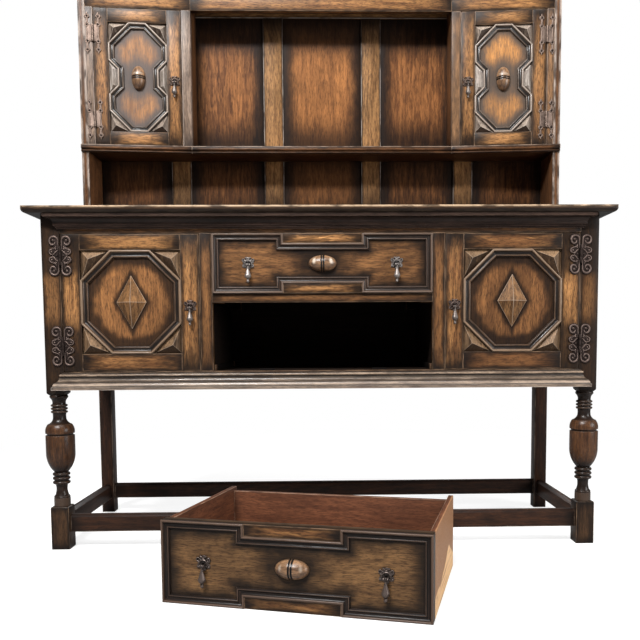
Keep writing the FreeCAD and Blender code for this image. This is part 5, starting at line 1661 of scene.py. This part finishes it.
@dataclass
class DropHandle:
    """Cast plate of leaves with two lugs, and the drop that swings between them, in millimetres."""

    pivot: Pivot
    standoff: float = 11.0
    drop: float = 4.0
    petals: int = 6
    plate_radius: float = 16.6
    plate_thickness: float = 2.5
    plate_rings: int = 14
    plate_sides: int = 72
    lug_inside: float = 3.0
    lug_outside: float = 5.0
    lug_arris: float = 0.4
    pin_reach: float = 5.6
    length: float = 46.0
    belly: float = 8.3
    eye_radius: float = 2.9
    eye_thickness: float = 1.25
    eye_width: float = 2.3
    eye_sides: int = 36
    eye_steps: int = 14

    def plate(self) -> list[Blank]:
        """Make the plate, its leaves, the lugs and the pin.

        Returns:
            The castings.
        """
        rings, sides, place = self.plate_rings, self.plate_sides, self.pivot.place
        points = [place(0, self.drop, self.plate_thickness + 1.6 - self.standoff)]
        marks = [0.55]
        angles = [FULL_TURN * i / sides for i in range(sides)]
        for share in (ring / rings for ring in range(1, rings + 1)):
            crown = self.plate_thickness * lifted(0.35, math.sqrt(max(0.0, 1 - share**4)))
            swell = 4 * share * (1 - share)
            for angle in angles:
                lobe, reach = self._petal(angle)
                vein = bell(lobe, 1, 0.16)
                rise = crown + swell * (1.2 * (1 - vein) - 0.9 * vein)
                x, z = reach * share * math.cos(angle), reach * share * math.sin(angle)
                points.append(place(x, self.drop + z, rise - self.standoff))
                marks.append(0.3 + 0.5 * lobe * share - 0.25 * vein)
        for angle in angles:
            reach = self._petal(angle)[1]
            points.append(place(reach * math.cos(angle), self.drop + reach * math.sin(angle), -self.standoff))
            marks.append(0.2)
        faces = [(0, 1 + i, 1 + (i + 1) % sides) for i in range(sides)]
        faces += quads(rings + 1, sides, 1)
        faces.append(tuple(reversed(range(len(points) - sides, len(points)))))
        leaf = Blank.cast(points, faces)
        leaf.relief = lifted(0.1, np.clip(np.array(marks), 0, 1))
        return [leaf, *self._lugs(), *self._leaves()]

    def _petal(self, angle: float) -> Span:
        """How near an angle is to the middle of a petal, from 0 to 1, and how far the plate reaches there."""
        lobe = abs(math.cos(angle * self.petals / 2 - math.pi / 2 * (self.petals % 4 == 2)))
        return lobe, self.plate_radius * lifted(0.7, lobe**0.7)

    def _leaves(self) -> list[Blank]:
        """Arch over the drop, curls beside it and a crown of two leaves.

        Returns:
            The castings.
        """
        place = self.pivot.place
        face = self.plate_thickness - self.standoff - 0.4
        made = [HANDLE_ARCH.cast(place, face)]
        made += [trim.cast(place, face, (sign, 1)) for sign in MIRROR for trim in HANDLE_PAIRS]
        return made + [dome.cast(place, face) for dome in HANDLE_DOMES]

    def _lugs(self) -> list[Blank]:
        """Two ears that hold the pin, and the pin.

        Returns:
            The castings.
        """
        at, right, back = self.pivot.at, self.pivot.right, self.pivot.right.cross(UP)
        near, far, end = self.lug_inside, self.lug_outside, self.pin_reach
        boss = [(0.0, -far), (3.4, -far), (3.4, -near - 0.4), (3.0, -near), (0.0, -near)]
        corners = ((-far, -3.0), (-near, -3.0), (-near, 3.0), (-far, 3.0))
        faces = [(0, 1, 2, 3), (7, 6, 5, 4), *quads(2, len(corners))]
        made = []
        for sign in MIRROR:
            made.append(Turnery.turn(metres(boss), Lie(at, right * sign, UP.copy(), back * sign), 24))
            depths = (-self.standoff, 0.6)
            points = [self.pivot.place(sign * x, z, depth) for depth in depths for x, z in corners]
            bm = Bench.mesh_of(np.array(points), faces)
            offset = self.lug_arris * MM
            bmesh.ops.bevel(bm, geom=bm.edges[:], offset=offset, segments=2, profile=0.5, affect="EDGES")
            made.append(Blank.cast([v.co.copy() for v in bm.verts], Bench.corners(bm)))
            bm.free()
        pin = [(0.0, -end), (1.2, -end), (1.5, 0.3 - end), (1.5, end - 0.3), (1.2, end), (0.0, end)]
        made.append(Turnery.turn(metres(pin), Lie(at, right, UP.copy(), back), 20))
        return made

    def pendant(self) -> list[Blank]:
        """Make the drop with its eye and ball.

        Returns:
            The castings.
        """
        path = [(0.0, -2.5), (2.0, -2.8), (2.4, -5.0), ((1.9, -7.0), (2.6, -9.2))]
        path += [((3.6, -9.9), (2.8, -10.8)), ((5.2, -18.0), (self.belly, -27.6))]
        path += [((6.9, -32.6), (3.2, -36.2)), ((2.3, -37.0), (2.4, -37.8)), ((4.0, -38.5), (2.4, -39.3))]
        path += [((3.6, 3.4 - self.length), (0.0, -self.length))]
        right = self.pivot.right
        lie = Lie(self.pivot.at, UP.copy(), right, right.cross(UP) * -1)
        body = Turnery.turn(metres(Turnery.outline(path, 0.8))[::-1], lie, 40)
        local = body.grain
        along = local[:, 0]
        ridge = np.abs(np.sin(3 * np.arctan2(local[:, 2], local[:, 1]))) ** 3
        flute = 1 - 0.06 * ridge * smooth(-0.036, -0.03, along) * smooth(-0.011, -0.016, along)
        spread = local.copy()
        spread[:, 1:] *= flute[:, None]
        body.points = spread @ lie.axes() + np.array(lie.middle)
        swell = smooth(0.003, 0.0075, np.hypot(local[:, 1], local[:, 2]))
        body.relief = np.clip(0.2 + body.relief + 0.25 * swell, 0, 1)
        return [body, self._eye()]

    def _eye(self) -> Blank:
        """Ring at the top of the drop, about the pin.

        Returns:
            The casting.
        """
        points, sides, steps = [], self.eye_sides, self.eye_steps
        for angle in (FULL_TURN * i / sides for i in range(sides)):
            for turn in (FULL_TURN * k / steps for k in range(steps)):
                radius = self.eye_radius + self.eye_thickness * math.cos(turn)
                up, out = radius * math.sin(angle), radius * math.cos(angle)
                points.append(self.pivot.place(self.eye_width * math.sin(turn), up, out))
        return Blank.cast(points, quads(sides, steps, ends_meet=True))


SPINE = 16.1
C_SCROLL = [(4.4, 16.0), (4.2, 24.0), (4.6, 34.0)]
C_SCROLL += arc_path(15.4, 38.0, 10.9, 190, -28, 26) + arc_path(18.6, 34.6, 6.6, -30, -190, 14)
SCROLLS = (
    Rib(C_SCROLL, 2.9, 2.3),
    # A dark sunk disc in the scroll's eye: painted shade in its hole.
    Dome((15.6, 37.6), 5.2, 1.0, 0.0, 0.9),
    Dome((17.0, 39.4), 3.4, 2.4, 0.55),
    Rib(arc_path(20.8, 10.2, 6.4, 120, -130, 18), 2.1, 1.9),
    Rib(((5.0, 14.0), (10.0, 10.5), (15.0, 4.5), (19.0, 0.4)), 2.0, 1.8),
    Rib(((9.5, 25.0), (11.0, 20.0), (16.0, 18.4), (21.0, 19.4)), 1.9, 1.7),
    Dome((21.4, 10.2), 2.5, 2.2, 0.95),
    Dome((10.2, 17.2), 2.2, 2.0, 0.9),
    Dome((26.6, 36.0), 2.2, 2.0, 0.8),
)
SCROLL_NAIL = Dome((8.6, 0.0), 3.0, 2.2, 0.35)
LOBES = (24.2, 48.4)
LOBE_ARC = (5.1, 0, 352, 24)
LOBE_WIDTH, LOBE_RISE = 1.7, 1.2
LOBE_NAIL, LOBE_NAIL_RISE = 2.9, 1.7
SPEAR = (
    Rib(((SPINE, 30.0), (SPINE, 36.5), (SPINE, 42.5)), 2.4, 1.3),
    Rib(((SPINE, 52.0), (SPINE, 56.0), (SPINE, 60.0)), 2.6, 1.2),
    Rib(((SPINE + 3.0, 52.0), (SPINE + 6.0, 49.5), (SPINE + 7.6, 46.0)), 1.5, 1.0),
    Rib(((SPINE - 3.0, 52.0), (SPINE - 6.0, 49.5), (SPINE - 7.6, 46.0)), 1.5, 1.0),
)
BAR_RIB = Rib(((SPINE, -17.5), (SPINE, 0.0), (SPINE, 17.5)), 2.6, 1.4)


@dataclass
class Hinge:
    """Scrolled or spear-ended trimmings of one hinge leaf, laid over the frame's own leaf."""

    ways: Pivot
    level: Level
    face: float = -2.0

    def trimmings(self) -> list[Blank]:
        """Scrolls, ribs and nails on the leaf.

        Returns:
            The castings.
        """
        place, face, made = self.ways.place, self.face, []
        for sign in MIRROR:
            if self.level is Level.LOWER:
                made += [trim.cast(place, face, (1, sign)) for trim in SCROLLS]
                continue
            for up in LOBES:
                lobe = Rib(arc_path(SPINE, sign * up, *LOBE_ARC), LOBE_WIDTH, LOBE_RISE)
                nail = Dome((SPINE, sign * up), LOBE_NAIL, LOBE_NAIL_RISE, 0.0)
                made += [lobe.cast(place, face), nail.cast(place, face)]
            made += [trim.cast(place, face, (1, sign)) for trim in SPEAR]
        middle = SCROLL_NAIL if self.level is Level.LOWER else BAR_RIB
        return made + [middle.cast(place, face)]


@dataclass(frozen=True)
class RingShape:
    """Eight-sided moulding on a panel: half its height and width, its cut corners and its own width."""

    half_up: float
    half_across: float
    cut: float
    width: float

    def inset(self, up: Array, across: Array) -> Array:
        """How far places lie inside the outer edge."""
        straight = np.minimum(self.half_up - up, self.half_across - across)
        return np.minimum(straight, (self.half_up + self.half_across - self.cut - up - across) / math.sqrt(2))


LOWER_RING = RingShape(0.1345, 0.130, 0.078, 0.020)
LOWER_RING_ROUND = 0.107
DIAMOND_HALF = (0.069, 0.0385)
UPPER_RING = RingShape(0.160, 0.0865, 0.061, 0.018)
WAIST_DEPTH, WAIST_FLAT = 0.026, 0.0235
EGG_HALF = (0.036, 0.021)
STEP_HALF, STEP_WIDTH, STEP_AT, STEP_DROP = 0.2875, 0.018, 0.103, 0.025


class PanelShade:
    """Rules for the dark stain round mouldings and bosses, by place along and across the board."""

    @staticmethod
    def cloud(local: Array, scale: float) -> Array:
        """Soft unevenness about 0, by turns per metre, for stain worked in by hand, bare patches and painted
        shade.
        """
        return np.array([noise.noise(Vector((p[0] * scale, p[1] * scale, 3.7))) for p in local])

    @staticmethod
    def outside(local: Array, shade: Array) -> Array:
        """Keep a rule to the front of the board; its back is evenly brown."""
        return np.where(local[:, 2] > 0, shade, 0.5)

    @staticmethod
    def egg(up: Array, across: Array) -> Array:
        """How far places lie outside the egg."""
        return (np.hypot(up / EGG_HALF[0], across / EGG_HALF[1]) - 1) * EGG_HALF[1]

    @classmethod
    def hinges(cls, points: Array, levels: Sequence[float], depth: float, local: Array) -> Array:
        """Upright board that carries hinges: dark round each of them.

        Args:
            points: the board's points.
            levels: heights of the hinges.
            depth: how dark it gets.
            local: places on the board.

        Returns:
            The shade of each place, 1 where it is clear.
        """
        middle = (points[:, 2].min() + points[:, 2].max()) / 2
        height = local[:, 0] + middle + 0.012 * cls.cloud(local, 45.0)
        between = np.minimum(height - min(levels), max(levels) - height)
        return lifted(1 - depth, smooth(0.035, 0.085, between))

    @classmethod
    def octagon(cls, local: Array) -> Array:
        """Lower door panel: dark inside its eight-sided ring and round the diamond.

        Args:
            local: places on the panel.

        Returns:
            The shade of each place, 1 where it is clear.
        """
        a, b = np.abs(local[:, 0]), np.abs(local[:, 1])
        inside = np.minimum(LOWER_RING.inset(a, b) - LOWER_RING.width, LOWER_RING_ROUND - np.hypot(a, b))
        inside = inside + 0.008 * cls.cloud(local, 45.0)
        tall, wide = DIAMOND_HALF
        halo = (a / tall + b / wide - 1) / math.hypot(1 / tall, 1 / wide) + 0.003 * cls.cloud(local, 80.0)
        shade = lifted(0.04, smooth(0.003, 0.024, inside)) * lifted(0.03, smooth(0.005, 0.016, halo))
        return cls.outside(local, shade)

    @classmethod
    def waisted(cls, local: Array) -> Array:
        """Upper door panel: dark inside its waisted ring and round the egg.

        Args:
            local: places on the panel.

        Returns:
            The shade of each place, 1 where it is clear.
        """
        a, b = np.abs(local[:, 0]), np.abs(local[:, 1])
        side = UPPER_RING.half_across - WAIST_DEPTH
        waist = np.maximum(side - b, (a - WAIST_FLAT - (b - side)) / math.sqrt(2))
        inside = np.minimum(UPPER_RING.inset(a, b), waist) - UPPER_RING.width + 0.005 * cls.cloud(local, 60.0)
        shade = lifted(0.03, smooth(0.002, 0.031, inside)) * lifted(0.06, smooth(0.004, 0.03, cls.egg(a, b)))
        return cls.outside(local, shade)

    @classmethod
    def stepped(cls, half_up: float, reach: float, local: Array) -> Array:
        """Drawer front: dark inside its stepped moulding and round the egg.

        Args:
            half_up: half the height of the moulding.
            reach: how far the stain runs in.
            local: places on the front.

        Returns:
            The shade of each place, 1 where it is clear.
        """
        a, b = np.abs(local[:, 0]), np.abs(local[:, 1])
        wander = 0.008 * cls.cloud(local, 30.0) + 0.004 * cls.cloud(local, 90.0)
        ends = STEP_HALF - a - STEP_WIDTH + wander
        rails = np.minimum(half_up - b, np.maximum(a - STEP_AT, half_up - STEP_DROP - b))
        rails = rails - STEP_WIDTH + wander
        shade = smooth(-0.002, 1.25 * reach, ends) * smooth(-0.002, reach, rails)
        halo = smooth(0.0, 0.04, cls.egg(a, b) + wander)
        return cls.outside(local, lifted(0.03, shade) * lifted(0.1, halo))


class Applied(Enum):
    """What is glued on a door's panel, by the last part of the piece's name."""

    RING = "ring_moulding"
    BOSS = "bosses"
    DIAMOND = "diamond"
    HIP = "hip_blocks"
    EGG = "egg"


EGG_FACES, STRIP_FACES = 1000, 100
STRIP_WORK = Work(0.0003, tone=(0.4, 0.6), crest=1.0)
# Painted light on bosses, diamonds and hip blocks: paler on faces that look up, darker on faces that look
# down.
BOSS_WORK = Work(0.0005, Grain.UPRIGHT, tone=(0.35, 0.5), crest=-0.1, margin=0.0016, facing=1.7)
DIAMOND_WORK = Work(0.0005, Grain.UPRIGHT, tone=(0.36, 0.4), crest=-0.1, margin=0.0016, facing=0.75)
HIP_WORK = Work(0.0005, Grain.UPRIGHT, crest=-0.1, margin=0.0016, facing=0.8)
LEAF_WORK = Work(0.0005, Grain.UPRIGHT, crest=-0.4)


@dataclass
class PanelDoor:
    """Framed door with a panel, applied mouldings, a boss, hinges and a drop handle."""

    level: Level
    side: Side
    arris: float = 0.001
    panel_arris: float = 0.0003
    panel_cells: float = 0.005
    stile_cells: float = 0.012
    centre_reach: float = 0.03
    leaf_height: float = 0.06
    rack_height: float = 1.0

    @property
    def name(self) -> str:
        """The door's name in the frame."""
        return f"{self.level.value}_{self.side.word}_door"

    @property
    def lower(self) -> bool:
        """Whether the door hangs in the base."""
        return self.level is Level.LOWER

    def build(self) -> list[Piece]:
        """Make the frame, panel, mouldings and metalwork.

        Returns:
            The pieces.
        """
        left = self.side is Side.LEFT
        rule = PanelShade.octagon if self.lower else PanelShade.waisted
        oak = PANEL_OAK if self.lower else UPPER_PANEL_OAK if left else GOLDEN_PANEL_OAK
        tone = (0.02, 0.08) if self.lower and not left else (0.5, 0.6)
        work = Work(self.panel_arris, Grain.UPRIGHT, cells=self.panel_cells, shade=rule, tone=tone)
        made = [self._frame(), Bench.dress(f"{self.name}_panel", oak, "panel_oak", work, self.name)]
        return made + self._mouldings() + self._metalwork()

    def _frame(self) -> Piece:
        """Stiles and rails; the hinge stile is dark round its hinges.

        Returns:
            The piece.
        """
        node = f"{self.name}_frame"
        rng = random.Random(node)
        levels, depth = (LOWER_HINGES, 0.88) if self.lower else (UPPER_HINGES, 0.35)
        solids = Bench.solids(node)
        hinge_stile, latch_stile, *rails = range(len(solids))
        low_rail = min(rails, key=lambda n: solids[n][0][:, 2].mean())
        blanks = []
        for number, solid in enumerate(solids):
            tone, darker = (0.65, 0.38) if number == latch_stile else (0.87, 0.65)
            if self.lower:
                tone -= darker * (self.side is Side.RIGHT) + 0.62 * (number == low_rail)
            work = Work(self.arris, tone=about(tone))
            if number == hinge_stile:
                shade = partial(PanelShade.hinges, solid[0], levels, depth)
                work = Work(self.arris, Grain.UPRIGHT, cells=self.stile_cells, shade=shade, tone=(0.55, 0.75))
            blanks += Bench.board(solid, work, rng)
        return Bench.join(f"{node}_finished", blanks, CASE_OAK, self.name, "case_oak", [node])

    def _applied(self, solid: Solid, lie: Lie) -> Applied:
        """Tell what a solid on the panel is.

        Args:
            solid: points and faces.
            lie: how the panel lies.

        Returns:
            Its kind.
        """
        if len(solid[1]) > EGG_FACES:
            return Applied.EGG
        if len(solid[1]) > STRIP_FACES:
            return Applied.RING
        up, across = np.abs(lie.local(solid[0])[:, :2].mean(0))
        if not self.lower and up < self.centre_reach:
            return Applied.HIP
        return Applied.DIAMOND if max(up, across) < self.centre_reach else Applied.BOSS

    def _mouldings(self) -> list[Piece]:
        """Ring, corner blocks and boss on the panel.

        Returns:
            One piece for each kind that the door has.
        """
        node = f"{self.name}_mouldings"
        rng = random.Random(node)
        lie = Bench.lie_of_first(f"{self.name}_panel", Grain.UPRIGHT)
        kinds = {
            Applied.RING: (MOULDING_OAK if self.lower else UPPER_MOULDING_OAK, STRIP_WORK),
            Applied.BOSS: (BOSS_OAK if self.lower else UPPER_BOSS_OAK, BOSS_WORK),
            Applied.DIAMOND: (DIAMOND_OAK, DIAMOND_WORK),
            Applied.HIP: (HIP_HIGHLIGHT_OAK, HIP_WORK),
            Applied.EGG: (EGG_OAK, None),
        }
        blanks: dict[Applied, list[Blank]] = {kind: [] for kind in Applied}
        for solid in Bench.solids(node):
            kind = self._applied(solid, lie)
            work = kinds[kind][1]
            blanks[kind] += Bench.board(solid, work, rng) if work else egg_boss(solid[0], lie)
        made = []
        for kind, (oak, _) in kinds.items():
            if blanks[kind]:
                stands_for = [node] if kind is Applied.RING else []
                name = f"{self.name}_{kind.value}"
                made.append(Bench.join(name, blanks[kind], oak, self.name, "moulding_oak", stands_for))
        return made

    def _metalwork(self) -> list[Piece]:
        """Hinge leaves on the door, the handle plate and its drop.

        Returns:
            The metalwork and the drop.
        """
        iron, drop = f"{self.name}_ironwork", f"{self.name}_pendant"
        handle = DropHandle(Pivot.of_swing(f"{drop}_swing"))
        blanks = handle.plate()
        for solid in Bench.solids(iron):
            if np.ptp(solid[0][:, 2]) > self.leaf_height:
                blanks += self.leaf(solid, 1)
        metal = HINGE_METAL if self.lower else UPPER_HINGE_METAL
        join, hanging = Bench.join, handle.pendant()
        return [
            join(f"{self.name}_metalwork", blanks, metal, self.name, "hinge_metal", [iron]),
            join(f"{self.name}_drop", hanging, DOOR_DROP_METAL, drop, "handle_metal", [drop]),
        ]

    def fixed_leaves(self, solids: Sequence[Solid]) -> list[Blank]:
        """Dress those of the dresser's fixed leaves that belong to this door."""
        mine = [solid for solid in solids if self._carries(solid[0].mean(0))]
        return [blank for solid in mine for blank in self.leaf(solid, -1)]

    def _carries(self, middle: Array) -> bool:
        """Whether a leaf with that middle is one of the door's."""
        return (middle[0] > 0) == (self.side is Side.RIGHT) and (middle[2] > self.rack_height) != self.lower

    def leaf(self, solid: Solid, toward: int) -> list[Blank]:
        """Dress one hinge leaf with scrolls and nails.

        Args:
            solid: the leaf in the frame.
            toward: 1 for the leaf on the door, -1 for the one on the post.

        Returns:
            The castings.
        """
        axis = Vector(joint_named(f"{self.name}_hinge")["pos_m"])
        axis.z = (solid[0][:, 2].min() + solid[0][:, 2].max()) / 2
        drop = Pivot.of_swing(f"{self.name}_pendant_swing")
        ways = Pivot(axis, drop.right * (-self.side.value) * toward, drop.out)
        plate = Bench.board(solid, LEAF_WORK, random.Random(self.name))
        for blank in plate:
            blank.grain = blank.points.copy()
            blank.relief = (0.0 if self.lower else 0.45) + 0.35 * blank.relief
        return plate + Hinge(ways, self.level).trimmings()


EGG_STEPS = 44
EGG_GROOVE_AT, EGG_GROOVE_DEPTH = 0.0875, 0.0024
EGG_GROOVE_STATIONS = (0.055, 0.062, 0.075, 0.1, 0.113, 0.12)


def egg_boss(points: Array, lie: Lie, glow: float = 0.34) -> list[Blank]:
    """Split-turned egg with two grooves, in the place of the frame's own.

    Args:
        points: the frame's egg.
        lie: the board it is glued to.
        glow: how pale the two painted highlights of a lying egg are.

    Returns:
        The one turned blank.
    """
    local = lie.local(points)
    low, high = local.min(0), local.max(0)
    long_half, short_half = (high[:2] - low[:2]) / 2
    centre = lie.place((low[0] + high[0]) / 2, (low[1] + high[1]) / 2, low[2])
    stations = {-math.cos(math.pi * i / EGG_STEPS) for i in range(EGG_STEPS + 1)}
    stations |= {sign * at for sign in MIRROR for at in EGG_GROOVE_STATIONS}
    outline = []
    for share in sorted(stations):
        radius = short_half * math.sqrt(max(0.0, 1 - share * share))
        groove = EGG_GROOVE_DEPTH * (1 - float(smooth(0.017, 0.036, abs(abs(share) - EGG_GROOVE_AT))))
        outline.append((max(0.0, radius - groove), long_half * share))
    blank = Turnery.turn(outline, Lie(centre, lie.along, lie.across, lie.out, lie.half), 40, math.pi)
    share = np.abs(blank.grain[:, 0] / long_half)
    height = blank.grain[:, 2] / short_half
    upright = abs(lie.along.z) > 0.7
    lift = (blank.points[:, 2] - centre.z) / (long_half if upright else short_half)
    # Painted highlights: pale spots on the egg's upper side, towards its ends when it lies and about its
    # middle when it stands; its grooves are darkened.
    highlight_at, glow = (0.3, 0.14) if upright else (0.62, glow)
    spot = bell(share, highlight_at, 0.16) * smooth(0.25, 0.85, height) * smooth(-0.5, 0.3, lift) * (share > 0.13)
    blank.relief = 0.55 * smooth(0.024, 0.05, np.abs(share - EGG_GROOVE_AT)) + glow * spot
    # Painted shade low on the egg near the panel, and painted light: the upper half paler, the lower half
    # darker.
    blank.shade = lifted(0.2, smooth(0.0, 0.5, height))
    blank.tone = 0.55 + 0.4 * lift
    return [blank]


@dataclass
class Drawer:
    """Drawer with a stepped moulding, an egg and two drop handles."""

    name: str
    half_up: float
    face: OakFinish
    reach: float
    metal: MetalFinish = HANDLE_METAL
    moulding: OakFinish = DRAWER_MOULDING_OAK
    raw_side: bool = False
    block_tone: Span = (0.5, 0.65)
    block_fleck: float = 0.8
    low_block_fleck: float = 0.2
    egg_glow: float = 0.3
    arris: float = 0.001
    bottom_joints: tuple[float, ...] = (-0.33, 0.33)

    def build(self) -> list[Piece]:
        """Make the front, box, mouldings and metalwork.

        Returns:
            The pieces.
        """
        name = self.name
        shade = partial(PanelShade.stepped, self.half_up, self.reach)
        front = Work(self.arris, cells=0.006, shade=shade, tone=(0.5, 0.6))
        bottom = Work(0.0005, joints=self.bottom_joints)
        made = [
            Bench.dress(f"{name}_front", self.face, "case_oak", front, name),
            self._box(),
            Bench.dress(f"{name}_bottom", DRAWER_OAK, "drawer_oak", bottom, name),
        ]
        return made + self._mouldings() + self._metalwork()

    def _box(self) -> Piece:
        """Sides and back, with a bare patch on the outside of one side.

        Returns:
            The piece.
        """
        node = f"{self.name}_box"
        plain = Work(self.arris, tone=(0.45, 0.6))
        bare = Work(self.arris, cells=0.008, tone=(0.45, 0.5), raw=self._raw)
        right = max(solid[0][:, 0].mean() for solid in Bench.solids(node))

        def work(middle: Array) -> Work:
            """Work of the board with that middle."""
            return bare if self.raw_side and middle[0] > right - MM else plain

        return Bench.dress(node, DRAWER_OAK, "drawer_oak", work, self.name)

    @staticmethod
    def _raw(local: Array) -> Array:
        """Paler wood where the stain never reached, low at the back of the side.

        Args:
            local: places on the side.

        Returns:
            What is added to the tone of each place.
        """
        half = np.abs(local).max(0)
        rise = 0.24 + 0.2 * bell(local[:, 0] / half[0], 0.35, 0.4)
        edge = (2 * rise - 1) * half[1] - local[:, 1] + 0.012 * PanelShade.cloud(local, 18.0)
        return (0.58 + 0.5 * smooth(-0.006, 0.006, edge)) * (local[:, 2] > 0)

    def _mouldings(self) -> list[Piece]:
        """Stepped moulding, filling blocks and egg.

        Returns:
            The three pieces.
        """
        node, slot = f"{self.name}_mouldings", "moulding_oak"
        rng = random.Random(node)
        lie = Bench.lie_of_first(f"{self.name}_front", Grain.LONGEST)
        strips, blocks, bosses = [], [], []
        for solid in Bench.solids(node):
            if len(solid[1]) > EGG_FACES:
                bosses += egg_boss(solid[0], lie, self.egg_glow)
            elif len(solid[1]) > STRIP_FACES:
                strips += Bench.board(solid, STRIP_WORK, rng)
            else:
                upper = lie.local(solid[0])[:, 1].mean() > 0
                fleck = self.block_fleck if upper else self.low_block_fleck
                blocks += Bench.board(solid, Work(0.0006, tone=self.block_tone, fleck=fleck), rng)
        return [
            Bench.join(f"{self.name}_step_moulding", strips, self.moulding, self.name, slot, [node]),
            Bench.join(f"{self.name}_step_blocks", blocks, CASE_OAK, self.name, slot),
            Bench.join(f"{self.name}_egg", bosses, EGG_OAK, self.name, slot),
        ]

    def _metalwork(self) -> list[Piece]:
        """Two handle plates and their drops.

        Returns:
            The two drops and the plates.
        """
        plates, made, slot = [], [], "handle_metal"
        for side in Side:
            drop = f"{self.name}_pendant_{side.word}"
            handle = DropHandle(Pivot.of_swing(f"{drop}_swing"))
            plates += handle.plate()
            made.append(Bench.join(f"{drop}_drop", handle.pendant(), self.metal, drop, slot, [drop]))
        node = f"{self.name}_plates"
        return made + [Bench.join(f"{node}_cast", plates, self.metal, self.name, slot, [node])]


@dataclass
class FixedHinges:
    """Hinge leaves that stay on the posts and stiles."""

    doors: Sequence[PanelDoor]
    node: str = "hinge_fixed_leaves"

    def build(self) -> list[Piece]:
        """Dress the leaves of the lower doors and of the upper ones.

        Returns:
            One piece for each level.
        """
        node, slot = self.node, "hinge_metal"
        solids = Bench.solids(node)
        made = []
        for level, metal in ((Level.LOWER, HINGE_METAL), (Level.UPPER, UPPER_HINGE_METAL)):
            doors = [door for door in self.doors if door.level is level]
            blanks = [blank for door in doors for blank in door.fixed_leaves(solids)]
            stands_for = [node] if level is Level.LOWER else []
            made.append(Bench.join(f"{node}_{level.value}", blanks, metal, CASE_BODY, slot, stands_for))
        return made


def main() -> None:
    """Build the dresser piece by piece."""
    logging.basicConfig(level=logging.INFO, format="%(message)s")
    Studio().build()
    doors = [PanelDoor(level, side) for level in Level for side in Side]
    top_drawer = Drawer("top_drawer", 0.0771, DRAWER_FACE, 0.026)
    floor_drawer = Drawer(
        "lower_drawer", 0.0886, FLOOR_DRAWER_FACE, 0.029, BRONZE, FLOOR_MOULDING_OAK,
        raw_side=True, block_tone=(0.0, 0.15), block_fleck=0.25, egg_glow=0.17,
    )
    legs = [TurnedLeg(side) for side in Side]
    for assembly in (CaseBase(), PlateRack(), *legs, *doors, top_drawer, floor_drawer, FixedHinges(doors)):
        for piece in assembly.build():
            LOG.info("%s: %d faces", piece.name, len(piece.data.polygons))


if __name__ == "__main__":
    main()
